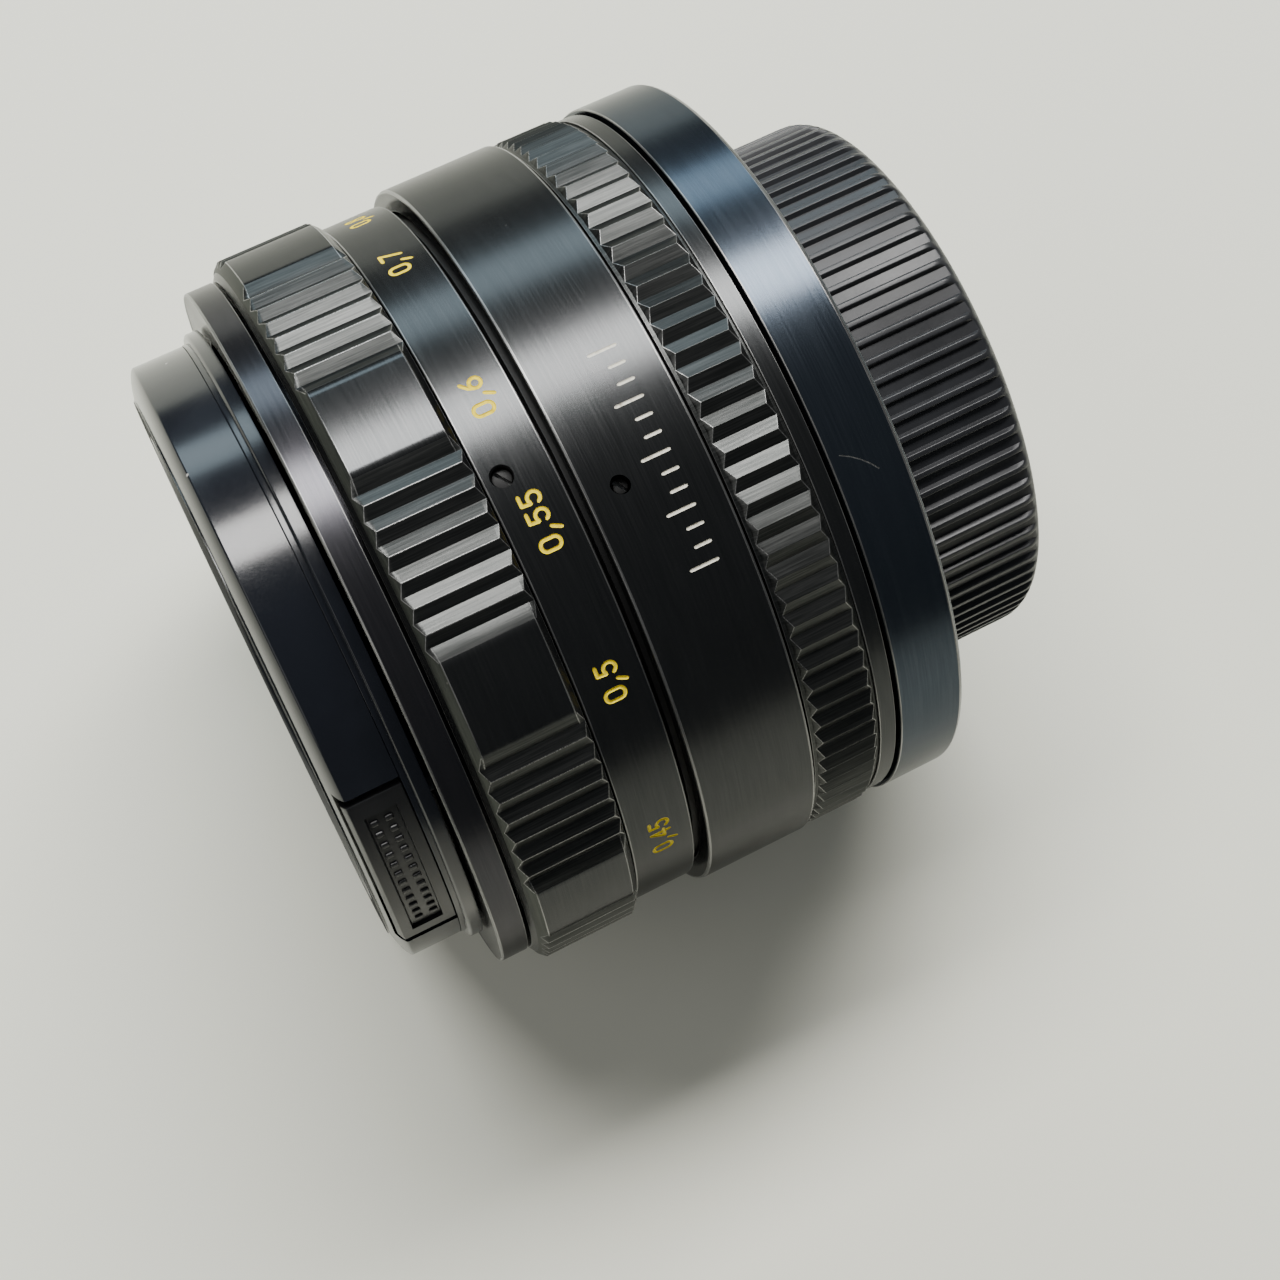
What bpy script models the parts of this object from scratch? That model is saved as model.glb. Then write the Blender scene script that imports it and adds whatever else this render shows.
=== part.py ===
"""A 50 mm prime camera lens with a pinch front cap and a screw-on rear cap, lying on its side.

The optical axis runs along Y, the front faces -Y and +Z is up. The origin is on the surface the
lens lies on, under the middle of its length. Lengths here are in millimetres and become metres
in the helpers. A station is a distance along the optical axis behind the front cap's face. An
angle goes round the optical axis from +Z towards -X.
"""

import math

import bmesh
import bpy
from mathutils import Matrix, Vector

MM = 0.001
GAP = 0.3

# Overall
LENGTH = 61.2
GRIP_RADIUS = 31.8
AXIS_HEIGHT = 31.79
OUTER_SEGMENTS = 40
INNER_SEGMENTS = 24

# Front cap
CAP_RADIUS = 26.65
CAP_FACE_RADIUS = 24.2
CAP_CONE_DEPTH = 1.0
CAP_DEPTH = 5.5
CAP_WALL = 1.2
CAP_FLANGE_RADIUS = 27.4
CAP_PLATE_REAR = 6.9
CAP_RECESS_RADIUS = 21.0
CAP_RECESS_DEPTH = 0.4
CAP_FACE_THICKNESS = 1.6
CAP_HUB_RADIUS = 4.2
CAP_HUB_REAR = 5.2
CAP_SLOT_HALF_WIDTH = 4.6
CAP_SLOT_INNER = 18.8
CAP_SLOT_OUTER = 23.6
LEVER_ANGLES = {"left": 118.8, "right": -61.2}
LEVER_SPAN = 37.0
LEVER_WINDOW_SPAN = 39.0
LEVER_WINDOW_FRONT = 0.4
LEVER_WINDOW_FLOOR = 21.3
LEVER_FRONT = 0.7
LEVER_BEVEL_DEPTH = 0.35
LEVER_BEVEL_RADIUS = 25.9
LEVER_REAR = 5.2
LEVER_RADIUS = 26.6
LEVER_INNER = 24.9
STEM_HALF_WIDTH = 4.0
STEM_FRONT = 2.1
STEM_REAR = 4.9
STEM_INNER = 12.0
HOOK_HALF_WIDTH = 3.8
HOOK_LEG_FRONT = 3.6
HOOK_LEG_INNER = 21.4
HOOK_LEG_OUTER = 23.0
HOOK_FRONT = 7.4
HOOK_REAR = 8.6
HOOK_INNER = 22.2
HOOK_OUTER = 25.6
CAP_SPRING_RADIUS = 1.5
CAP_SPRING_WIRE = 0.2
CAP_SPRING_STATION = 3.5
CAP_SPRING_INNER = 4.8
CAP_SPRING_OUTER = 11.5

# Filter rim
RIM_RADIUS = 30.35
RIM_FRONT = 7.25
RIM_REAR = 9.6
FILTER_BORE = 26.1
FILTER_FRONT = 7.9
FILTER_REAR = 12.2
NAME_RING_OUTER = 24.3
NAME_RING_INNER = 17.5
RETAINER_RADIUS = 17.2
BARREL_INNER = 24.6
BARREL_OUTER = 26.9
BARREL_FRONT = 12.5
BARREL_REAR = 34.5
KEYWAY_HALF_WIDTH = 1.65
KEYWAY_FRONT = 25.2

# Optics: front surface, rear surface, each (vertex station, radius of curvature), and rim radius
LENS_1 = ((14.5, 36.0), (18.7, 200.0), 15.0)
LENS_2 = ((19.0, 20.5), (23.6, 32.0), 12.8)
LENS_3 = ((24.2, 33.0), (25.8, 14.3), 11.0)
LENS_4 = ((36.2, -15.5), (37.7, 80.0), 10.4)
LENS_5 = ((38.0, 80.0), (43.2, -21.0), 11.0)
LENS_6 = ((43.5, 70.0), (47.3, -40.0), 12.0)
LENS_3_REAR_RADIUS = 9.8
LENS_4_FRONT_RADIUS = 9.4

# Focus ring: nine plain lands with seven grooves between each two
GRIP_FRONT = 9.9
GRIP_CREST_FRONT = 10.85
GRIP_CREST_REAR = 18.45
GRIP_REAR = 18.85
GRIP_REAR_RADIUS = 31.24
GRIP_BORE = 29.2
GRIP_CREST_RADIUS = 31.69
GRIP_GROOVE_RADIUS = 31.24
GRIP_LANDS = 9
GRIP_LAND_SPAN = 14.1
GRIP_GROOVES = 7
GRIP_GROOVE_PITCH = 3.64
GRIP_PHASE = 8.2
SCALE_RADIUS = 30.7
SCALE_FRONT = 19.15
SCALE_REAR = 24.4
SCALE_EDGE = 0.2
SCALE_SCREW_ANGLE = -6.3
SCALE_SCREW_STATION = 20.7
SCALE_SCREW_RADIUS = 0.7
SCALE_SCREW_HOLE = 0.9
SCALE_SCREW_INNER = 29.3
SCALE_SCREW_OUTER = 30.3
SCREW_SLOT_WIDTH = 0.3
SCREW_SLOT_DEPTH = 0.35
HELICOID_INNER = 27.3
HELICOID_OUTER = 28.9
HELICOID_FRONT = 12.6
HELICOID_REAR = 24.5
HELICOID_STEP = 16.5
HELICOID_REAR_BORE = 28.45

# Fixed barrel
FIXED_RADIUS = 31.65
FIXED_BORE = 29.8
FIXED_EDGE = 0.3
FIXED_FRONT = 25.2
FIXED_REAR = 34.75
FIXED_SCREW_ANGLE = -14.1
FIXED_SCREW_STATION = 28.0
FIXED_SCREW_RADIUS = 0.55
FIXED_SCREW_HOLE = 0.75
FIXED_SCREW_INNER = 29.9
FIXED_SCREW_OUTER = 31.1
KEY_ANGLES = (90.0, 270.0)
KEY_HALF_WIDTH = 1.5
KEY_FRONT = 25.6
KEY_REAR = 27.2
KEY_INNER = 25.0
KEY_OUTER = 26.85

# Aperture ring
APERTURE_RADIUS = 31.5
APERTURE_ROOT = 31.05
APERTURE_FRONT = 35.05
APERTURE_RIB_FRONT = 35.8
APERTURE_RIB_REAR = 40.2
APERTURE_CHAMFER = 0.45
STRIP_RADIUS = 31.2
STRIP_FRONT = 40.9
APERTURE_REAR = 42.3
APERTURE_RIBS = 98
APERTURE_RIB_PHASE = 2.37
APERTURE_BORE = 28.6
CAM_ANGLE = 60.0
APERTURE_THROW = 60.0
CAM_WINDOW_MARGIN = 6.0
CAM_WINDOW_FRONT = 37.4
CAM_WINDOW_REAR = 40.6
CAM_LUG_HALF_WIDTH = 1.5
CAM_LUG_FRONT = 38.0
CAM_LUG_REAR = 40.0
CAM_LUG_INNER = 22.0
CAM_LUG_OUTER = 28.25
CLICK_ANGLE = 150.0
CLICK_STATION = 38.5
CLICK_BALL_RADIUS = 0.8
CLICK_BALL_CENTRE = 27.5
CLICK_HOLE_RADIUS = 1.0
CLICK_SPRING_RADIUS = 0.55
CLICK_SPRING_WIRE = 0.12

# Mount
MOUNT_RADIUS = 31.5
MOUNT_FRONT = 42.6
MOUNT_EDGE = 0.35
MOUNT_BORE = 24.3
MOUNT_WALL_FRONT = 45.2
FLANGE = 48.28
THREAD_RADIUS = 20.95
THREAD_REAR = 52.8
MOUNT_SCREW_ANGLES = (30.0, 150.0, 270.0)
MOUNT_SCREW_CIRCLE = 27.0
MOUNT_SCREW_HEAD = 1.4
MOUNT_SCREW_SHANK = 0.75
MOUNT_HEAD_HOLE = 1.7
MOUNT_SHANK_HOLE = 1.05
MOUNT_HEAD_FLOOR = 47.0
MOUNT_SCREW_TIP = 45.3
MOUNT_SCREW_SLOT = 0.4
MOUNT_SLEEVE_RADIUS = 29.0
THREAD_BORE = 19.3
THREAD_SEAT_RADIUS = 24.0
THREAD_SEAT_FRONT = 45.6

# Rear cap
REAR_CAP_RADIUS = 23.3
REAR_CAP_RIB_DEPTH = 0.4
REAR_CAP_FRONT = 48.6
REAR_CAP_FLOOR = 59.6
REAR_CAP_BORE = 21.4
REAR_CAP_RIBS = 90

# Iris: six blades, each on a pivot pin in the base plate, moved by a pin in the drive ring
BLADES = 6
BLADE_LEVELS = 3
BLADE_LEVEL_STEP = 0.35
BLADE_FIRST_STATION = 30.9
BLADE_THICKNESS = 0.15
BLADE_INNER = 10.5
BLADE_OUTER = 15.0
BLADE_SWING = 32.9
PIVOT_RADIUS = 16.6
CAM_ARM = 3.0
PIN_RADIUS = 0.5
DRIVE_RING_FRONT = 29.5
DRIVE_RING_REAR = 30.3
BASE_PLATE_FRONT = 32.2
BASE_PLATE_REAR = 33.2

IRIS_LEVER_ANGLE = 30.0
IRIS_LEVER_HALF_WIDTH = 0.8
IRIS_LEVER_INNER = 19.2
IRIS_LEVER_OUTER = 20.7
IRIS_LEVER_REAR = 39.4

# Stop-down pin
STOP_PIN_RADIUS = 16.9
STOP_PIN_ANGLE = 180.0
STOP_PIN_THICKNESS = 0.8
STOP_PIN_HOLE = 1.1
STOP_PIN_FRONT = 35.8
STOP_PIN_REAR = 51.8
STOP_COLLAR_RADIUS = 1.7
STOP_COLLAR_FRONT = 44.0
STOP_COLLAR_REAR = 45.0
GUIDE_PLATE_FRONT = 36.0
GUIDE_PLATE_REAR = 36.8

BLACK_METAL = ((0.018, 0.019, 0.022), 0.32, 0.9)
BLACK_PLASTIC = ((0.012, 0.013, 0.016), 0.16, 0.0)
SATIN_PLASTIC = ((0.02, 0.02, 0.022), 0.38, 0.0)
BARE_ALUMINIUM = ((0.62, 0.62, 0.64), 0.35, 1.0)
BLACKENED_INSIDE = ((0.02, 0.02, 0.02), 0.7, 0.4)
STEEL = ((0.5, 0.5, 0.52), 0.3, 1.0)
BRASS = ((0.6, 0.43, 0.16), 0.35, 1.0)
GLASS = ((0.75, 0.7, 0.9), 0.03, 0.0)


def clear_scene():
    for obj in list(bpy.data.objects):
        bpy.data.objects.remove(obj, do_unlink=True)


def make_material(name, look):
    colour, roughness, metallic = look
    material = bpy.data.materials.new(name)
    material.use_nodes = True
    shader = material.node_tree.nodes["Principled BSDF"]
    shader.inputs["Base Color"].default_value = (*colour, 1.0)
    shader.inputs["Roughness"].default_value = roughness
    shader.inputs["Metallic"].default_value = metallic
    return material


def make_axis():
    """The empty on the optical axis that every piece hangs from."""
    axis = bpy.data.objects.new("optical_axis", None)
    bpy.context.scene.collection.objects.link(axis)
    axis.location = (0.0, 0.0, AXIS_HEIGHT * MM)
    return axis


def point(radius, angle, station):
    """The place of a polar position, in metres from the middle of the axis."""
    turn = math.radians(angle)
    across = -radius * math.sin(turn)
    up = radius * math.cos(turn)
    return Vector((across, station - LENGTH / 2, up)) * MM


def link_mesh(name, mesh, look, axis):
    obj = bpy.data.objects.new(name, mesh)
    bpy.context.scene.collection.objects.link(obj)
    obj.parent = axis
    if not mesh.materials:
        mesh.materials.append(make_material(name, look))
    return obj


def face_out(shape):
    """Points every face outwards, also on pieces too small for the recalculation alone."""
    bmesh.ops.recalc_face_normals(shape, faces=shape.faces)
    if shape.calc_volume(signed=True) < 0:
        bmesh.ops.reverse_faces(shape, faces=shape.faces)


def finish_mesh(name, shape, look, axis, sharp=35.0):
    """Turns a bmesh into a smooth-shaded object whose faces point out."""
    face_out(shape)
    mesh = bpy.data.meshes.new(name)
    shape.to_mesh(mesh)
    shape.free()
    mesh.shade_smooth()
    mesh.set_sharp_from_angle(angle=math.radians(sharp))
    return link_mesh(name, mesh, look, axis)


def circle(radius, segments):
    step = 360.0 / segments
    return [(radius, (index + 0.5) * step) for index in range(segments)]


def stitch(shape, near, far):
    """Joins two loops of (angle, vertex) round the axis, whatever their counts are."""
    if len(near) == len(far) == 1:
        return
    if len(near) == len(far):
        for index in range(len(near)):
            after = (index + 1) % len(near)
            corners = (near[index][1], near[after][1], far[after][1], far[index][1])
            shape.faces.new(corners)
        return
    here = there = 0
    while here + there < len(near) + len(far):
        near_next = near[(here + 1) % len(near)][0] + 360.0 * ((here + 1) // len(near))
        far_next = far[(there + 1) % len(far)][0] + 360.0 * ((there + 1) // len(far))
        move_near = here < len(near) and (there >= len(far) or near_next <= far_next)
        if len(near) == 1 or len(far) == 1:
            move_near = len(near) > 1
        start = near[here % len(near)][1]
        other = far[there % len(far)][1]
        if move_near:
            shape.faces.new((start, near[(here + 1) % len(near)][1], other))
            here += 1
        else:
            shape.faces.new((start, far[(there + 1) % len(far)][1], other))
            there += 1
        if (len(near) == 1 and there == len(far)) or (len(far) == 1 and here == len(near)):
            break


def turned(name, profile, look, axis, segments=INNER_SEGMENTS):
    """A piece turned about the axis. The profile lists (outline, station) from loop to loop; an
    outline is a radius or a list of (radius, angle). Radius 0 closes the piece with a pole, and
    any other profile is a ring whose last loop joins its first."""
    shape = bmesh.new()
    loops = []
    for outline, station in profile:
        if outline == 0:
            loops.append([(0.0, shape.verts.new(point(0.0, 0.0, station)))])
            continue
        if not isinstance(outline, list):
            outline = circle(outline, segments)
        ordered = sorted(outline, key=lambda corner: corner[1])
        loops.append([(angle, shape.verts.new(point(radius, angle, station)))
                      for radius, angle in ordered])
    for near, far in zip(loops, loops[1:]):
        stitch(shape, near, far)
    if len(loops[0]) > 1:
        stitch(shape, loops[-1], loops[0])
    return finish_mesh(name, shape, look, axis)


def box_faces(shape, low, high, place):
    """Adds a box between two corners, moved by a matrix."""
    made = bmesh.ops.create_cube(shape, size=1.0)["verts"]
    middle = (Vector(low) + Vector(high)) / 2
    size = Vector(high) - Vector(low)
    for vert in made:
        local = Vector([vert.co[i] * size[i] + middle[i] for i in range(3)])
        vert.co = place @ (local * MM)


def polar_frame(angle):
    """Local X runs round the axis, Y along it from the lens's middle and Z outwards."""
    return Matrix.Rotation(-math.radians(angle), 4, "Y")


def rod_faces(shape, radius, start, end, sides=12):
    """Adds a closed cylinder from start to end, both in metres."""
    along = end - start
    turn = along.to_track_quat("Z", "Y").to_matrix().to_4x4()
    place = Matrix.Translation((start + end) / 2) @ turn
    bmesh.ops.create_cone(shape, cap_ends=True, segments=sides, radius1=radius * MM,
                          radius2=radius * MM, depth=along.length, matrix=place)


def make_cutter(name, shape, parent):
    """A helper that shapes another piece and is never part of the lens."""
    face_out(shape)
    mesh = bpy.data.meshes.new(name)
    shape.to_mesh(mesh)
    shape.free()
    cutter = bpy.data.objects.new(name, mesh)
    bpy.context.scene.collection.objects.link(cutter)
    cutter.parent = parent
    cutter.hide_render = True
    cutter.display_type = "WIRE"
    return cutter


def combine(obj, cutter, operation="DIFFERENCE"):
    modifier = obj.modifiers.new(cutter.name, "BOOLEAN")
    modifier.operation = operation
    modifier.object = cutter
    modifier.solver = "EXACT"


def grip_outline():
    """Lands at full radius, with full V grooves whose crests lie a little lower between them."""
    period = 360.0 / GRIP_LANDS
    span = period - GRIP_LAND_SPAN
    first = (span - (GRIP_GROOVES - 1) * GRIP_GROOVE_PITCH) / 2
    outline = []
    for land in range(GRIP_LANDS):
        middle = GRIP_PHASE + land * period
        start = middle + GRIP_LAND_SPAN / 2
        outline.append((GRIP_RADIUS, middle % 360.0))
        outline.append((GRIP_RADIUS, start % 360.0))
        for index in range(GRIP_GROOVES):
            bottom = start + first + index * GRIP_GROOVE_PITCH
            outline.append((GRIP_GROOVE_RADIUS, bottom % 360.0))
            if index < GRIP_GROOVES - 1:
                outline.append((GRIP_CREST_RADIUS, (bottom + GRIP_GROOVE_PITCH / 2) % 360.0))
        outline.append((GRIP_RADIUS, (start + span) % 360.0))
    return outline


def rib_outline(count, crest, root, phase=0.0):
    """V ribs. The phase is the angle of the first crest."""
    pitch = 360.0 / count
    outline = []
    for index in range(count):
        outline.append((crest, (phase + index * pitch) % 360.0))
        outline.append((root, (phase + (index + 0.5) * pitch) % 360.0))
    return outline


def spring_mesh(name, radius, wire, start, end, turns, look, axis):
    """A closed coil spring between two points in metres."""
    per_turn = 8
    sides = 4
    along = end - start
    across = along.orthogonal().normalized()
    beside = along.normalized().cross(across)
    count = turns * per_turn
    shape = bmesh.new()
    rings = []
    for index in range(count + 1):
        turn = 2 * math.pi * index / per_turn
        out = across * math.cos(turn) + beside * math.sin(turn)
        middle = start + along * (index / count) + out * radius * MM
        ring = []
        for side in range(sides):
            roll = 2 * math.pi * side / sides
            offset = out * math.cos(roll) + along.normalized() * math.sin(roll)
            ring.append(shape.verts.new(middle + offset * wire * MM))
        rings.append(ring)
    for near, far in zip(rings, rings[1:]):
        for side in range(sides):
            after = (side + 1) % sides
            shape.faces.new((near[side], near[after], far[after], far[side]))
    shape.faces.new(rings[0])
    shape.faces.new(rings[-1])
    return finish_mesh(name, shape, look, axis)


def make_front_cap(axis):
    """A moulded cover and a back plate hold two sprung levers that grip the filter thread."""
    cover = turned("front_cap_cover", [
        (0, CAP_RECESS_DEPTH), (CAP_RECESS_RADIUS - 0.1, CAP_RECESS_DEPTH), (CAP_RECESS_RADIUS, 0.0),
        (CAP_FACE_RADIUS, 0.0), (CAP_RADIUS, CAP_CONE_DEPTH), (CAP_RADIUS, CAP_DEPTH),
        (CAP_RADIUS - CAP_WALL, CAP_DEPTH), (CAP_RADIUS - CAP_WALL, CAP_FACE_THICKNESS),
        (CAP_HUB_RADIUS, CAP_FACE_THICKNESS), (CAP_HUB_RADIUS, CAP_HUB_REAR), (0, CAP_HUB_REAR)],
        BLACK_PLASTIC, axis, OUTER_SEGMENTS)
    plate = turned("front_cap_plate", [
        (0, CAP_DEPTH + GAP), (CAP_FLANGE_RADIUS, CAP_DEPTH + GAP),
        (CAP_FLANGE_RADIUS, CAP_PLATE_REAR), (0, CAP_PLATE_REAR)], SATIN_PLASTIC, axis, OUTER_SEGMENTS)
    windows = bmesh.new()
    slots = bmesh.new()
    half = (CAP_RADIUS + 1.0) * math.sin(math.radians(LEVER_WINDOW_SPAN / 2))
    middle = LENGTH / 2
    for angle in LEVER_ANGLES.values():
        frame = polar_frame(angle)
        box_faces(windows, (-half, LEVER_WINDOW_FRONT - middle, LEVER_WINDOW_FLOOR),
                  (half, CAP_DEPTH + 1.0 - middle, CAP_RADIUS + 3.0), frame)
        box_faces(slots, (-CAP_SLOT_HALF_WIDTH, CAP_DEPTH - 1.0 - middle, CAP_SLOT_INNER),
                  (CAP_SLOT_HALF_WIDTH, CAP_PLATE_REAR + 1.0 - middle, CAP_SLOT_OUTER), frame)
    combine(cover, make_cutter("cap_lever_windows", windows, axis))
    combine(plate, make_cutter("cap_hook_slots", slots, axis))
    for side, angle in LEVER_ANGLES.items():
        make_cap_lever(side, angle, axis)


def make_cap_lever(side, angle, axis):
    """A finger pad flush with the cover's side, a stem to the spring and a hook for the thread."""
    middle = LENGTH / 2
    pad = bmesh.new()
    steps = 8
    sections = []
    for index in range(steps + 1):
        turn = LEVER_SPAN * (index / steps - 0.5)
        section = []
        for radius, station in ((LEVER_INNER, LEVER_FRONT), (LEVER_BEVEL_RADIUS, LEVER_FRONT),
                                (LEVER_RADIUS, LEVER_FRONT + LEVER_BEVEL_DEPTH),
                                (LEVER_RADIUS, LEVER_REAR), (LEVER_INNER, LEVER_REAR)):
            section.append(pad.verts.new(point(radius, angle + turn, station)))
        sections.append(section)
    for near, far in zip(sections, sections[1:]):
        for corner in range(len(near)):
            after = (corner + 1) % len(near)
            pad.faces.new((near[corner], near[after], far[after], far[corner]))
    pad.faces.new(sections[0])
    pad.faces.new(sections[-1])
    lever = finish_mesh(f"cap_lever_{side}", pad, SATIN_PLASTIC, axis)
    frame = polar_frame(angle)
    stem = bmesh.new()
    box_faces(stem, (-STEM_HALF_WIDTH, STEM_FRONT - middle, STEM_INNER),
              (STEM_HALF_WIDTH, STEM_REAR - middle, LEVER_RADIUS - 1.0), frame)
    combine(lever, make_cutter(f"cap_stem_{side}", stem, axis), "UNION")
    leg = bmesh.new()
    box_faces(leg, (-HOOK_HALF_WIDTH, HOOK_LEG_FRONT - middle, HOOK_LEG_INNER),
              (HOOK_HALF_WIDTH, HOOK_REAR - middle, HOOK_LEG_OUTER), frame)
    combine(lever, make_cutter(f"cap_leg_{side}", leg, axis), "UNION")
    hook = bmesh.new()
    box_faces(hook, (-HOOK_HALF_WIDTH, HOOK_FRONT - middle, HOOK_INNER),
              (HOOK_HALF_WIDTH, HOOK_REAR - middle, HOOK_OUTER), frame)
    combine(lever, make_cutter(f"cap_hook_{side}", hook, axis), "UNION")
    spring_mesh(f"cap_spring_{side}", CAP_SPRING_RADIUS, CAP_SPRING_WIRE,
                point(CAP_SPRING_INNER, angle, CAP_SPRING_STATION),
                point(CAP_SPRING_OUTER, angle, CAP_SPRING_STATION), 5, STEEL, axis)


def make_front_barrel(axis):
    """The parts in front of the optics: filter rim, trim ring and the sliding barrel."""
    turned("filter_ring", [
        (FILTER_BORE, FILTER_REAR), (FILTER_BORE, FILTER_FRONT), (28.3, FILTER_FRONT),
        (29.9, RIM_FRONT), (RIM_RADIUS, RIM_FRONT + 0.15), (RIM_RADIUS, RIM_REAR),
        (27.9, RIM_REAR), (27.9, FILTER_REAR)], BLACK_METAL, axis, OUTER_SEGMENTS)
    turned("name_ring", [
        (NAME_RING_INNER, 15.7), (NAME_RING_OUTER, 13.0), (NAME_RING_OUTER, 14.2),
        (NAME_RING_INNER, 17.2)], BLACK_METAL, axis)
    turned("front_retainer", [
        (13.9, 15.9), (RETAINER_RADIUS, 15.9), (RETAINER_RADIUS, 17.3), (15.3, 17.3), (13.9, 16.9)],
        BLACK_METAL, axis)
    barrel = turned("lens_barrel", [
        (BARREL_INNER, BARREL_FRONT), (BARREL_OUTER, BARREL_FRONT), (BARREL_OUTER, BARREL_REAR),
        (BARREL_INNER, BARREL_REAR)], BLACKENED_INSIDE, axis)
    keyways = bmesh.new()
    middle = LENGTH / 2
    for angle in KEY_ANGLES:
        box_faces(keyways, (-KEYWAY_HALF_WIDTH, KEYWAY_FRONT - middle, BARREL_INNER - 1.6),
                  (KEYWAY_HALF_WIDTH, BARREL_REAR + 1.5 - middle, BARREL_OUTER + 1.1),
                  polar_frame(angle))
    combine(barrel, make_cutter("keyways", keyways, axis))


def arc_points(vertex, curvature, radius, steps):
    """(radius, station) on a spherical surface, from the axis out to a radius. A positive
    curvature radius bulges to the front."""
    points = []
    for index in range(steps + 1):
        across = radius * index / steps
        sag = abs(curvature) - math.sqrt(curvature * curvature - across * across)
        points.append((across, vertex + math.copysign(sag, curvature)))
    return points


def make_element(name, front, rear, edge, axis, front_radius=None, rear_radius=None):
    """A glass element between two spherical surfaces, each (vertex station, curvature)."""
    front_points = arc_points(*front, front_radius or edge, 2)
    rear_points = arc_points(*rear, rear_radius or edge, 2)
    if front_radius:
        front_points.append((edge, front_points[-1][1]))
    if rear_radius:
        rear_points.append((edge, rear_points[-1][1]))
    turned(name, front_points + rear_points[::-1], GLASS, axis)


def make_optics(axis):
    """Six glass elements, three each side of the iris, in their cells."""
    make_element("lens_1_front", *LENS_1, axis)
    make_element("lens_2_meniscus", *LENS_2, axis)
    make_element("lens_3_negative", *LENS_3, axis, rear_radius=LENS_3_REAR_RADIUS)
    make_element("lens_4_negative", *LENS_4, axis, front_radius=LENS_4_FRONT_RADIUS)
    make_element("lens_5_positive", *LENS_5, axis)
    make_element("lens_6_rear", *LENS_6, axis)
    turned("front_cell", [
        (15.3, 17.6), (17.2, 17.6), (17.2, 19.8), (24.3, 19.8), (24.3, 21.3), (16.0, 21.3),
        (16.0, 27.9), (13.0, 27.9), (13.0, 30.5), (10.2, 30.5), (10.2, 30.0), (11.3, 30.0),
        (11.3, 26.8), (13.1, 26.8), (13.1, 19.6), (15.3, 19.6)], BLACKENED_INSIDE, axis)
    turned("front_spacer", [(12.1, 19.5), (12.8, 19.5), (12.8, 22.4), (12.1, 22.4)],
           BLACKENED_INSIDE, axis)
    turned("rear_cell", [
        (10.7, 33.5), (14.6, 33.5), (14.6, 40.0), (13.6, 40.0), (13.6, 47.3), (12.3, 47.3),
        (12.3, 43.0), (11.3, 43.0), (11.3, 38.6), (10.7, 38.6)], BLACKENED_INSIDE, axis)
    turned("rear_spacer", [(11.2, 43.3), (12.0, 43.3), (12.0, 44.1), (11.2, 44.1)],
           BLACKENED_INSIDE, axis)
    turned("rear_retainer", [(11.2, 46.1), (12.0, 46.1), (12.0, 47.2), (11.2, 47.2)],
           BLACKENED_INSIDE, axis)


def make_iris(axis):
    """The housing, drive ring, base plate and six blades that overlap on three levels."""
    turned("iris_housing", [
        (13.3, 28.4), (22.6, 28.4), (22.6, 33.4), (21.2, 33.4), (21.2, 29.2), (13.3, 29.2)],
        BLACKENED_INSIDE, axis)
    plate = turned("iris_base_plate", [
        (10.7, BASE_PLATE_FRONT), (20.9, BASE_PLATE_FRONT), (20.9, BASE_PLATE_REAR),
        (10.7, BASE_PLATE_REAR)], BLACKENED_INSIDE, axis)
    ring = turned("iris_drive_ring", [
        (18.3, DRIVE_RING_FRONT), (20.9, DRIVE_RING_FRONT), (20.9, DRIVE_RING_REAR),
        (18.3, DRIVE_RING_REAR)], BRASS, axis)
    holes = bmesh.new()
    slots = bmesh.new()
    middle = LENGTH / 2
    cam_x, cam_z = cam_pin_place()
    cam_turn = math.degrees(math.atan2(cam_x, cam_z))
    for index in range(BLADES):
        angle = 360.0 * index / BLADES
        rod_faces(holes, PIN_RADIUS + 0.1, point(PIVOT_RADIUS, angle, BASE_PLATE_FRONT - 1),
                  point(PIVOT_RADIUS, angle, BASE_PLATE_REAR + 1))
        frame = polar_frame(angle + cam_turn)
        box_faces(slots, (-0.62, DRIVE_RING_FRONT - 1 - middle, 18.8),
                  (0.62, DRIVE_RING_REAR + 1 - middle, 20.35), frame)
    box_faces(holes, (-3.0, BASE_PLATE_FRONT - 1 - middle, 18.0),
              (3.0, BASE_PLATE_REAR + 1 - middle, 22.0), polar_frame(IRIS_LEVER_ANGLE))
    combine(plate, make_cutter("base_plate_holes", holes, axis))
    combine(ring, make_cutter("drive_ring_slots", slots, axis))
    make_iris_lever(axis)
    meshes = {}
    for index in range(BLADES):
        make_blade(index, meshes, axis)


def cam_pin_place():
    """The drive pin's place at the open iris: (round the axis, out from it), for a blade whose
    pivot is at angle 0. The arm swings equally to both sides of the line from axis to pivot."""
    lean = math.radians(BLADE_SWING / 2)
    return -CAM_ARM * math.sin(lean), PIVOT_RADIUS + CAM_ARM * math.cos(lean)


def blade_outline():
    """The blade's outline as (radius, angle): a crescent with a tab for the two pins."""
    outline = [(BLADE_OUTER, 5.0 + 87.0 * step / 9) for step in range(10)]
    centre = (BLADE_OUTER + BLADE_INNER) / 2
    outline += [(centre + 1.5, 95.5), (centre - 1.5, 95.5)]
    outline += [(BLADE_INNER, 92.0 - 98.0 * step / 10) for step in range(11)]
    outline += [(BLADE_OUTER, -6.0), (20.1, -5.4), (20.1, 0.6), (PIVOT_RADIUS, 3.5)]
    return outline


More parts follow.
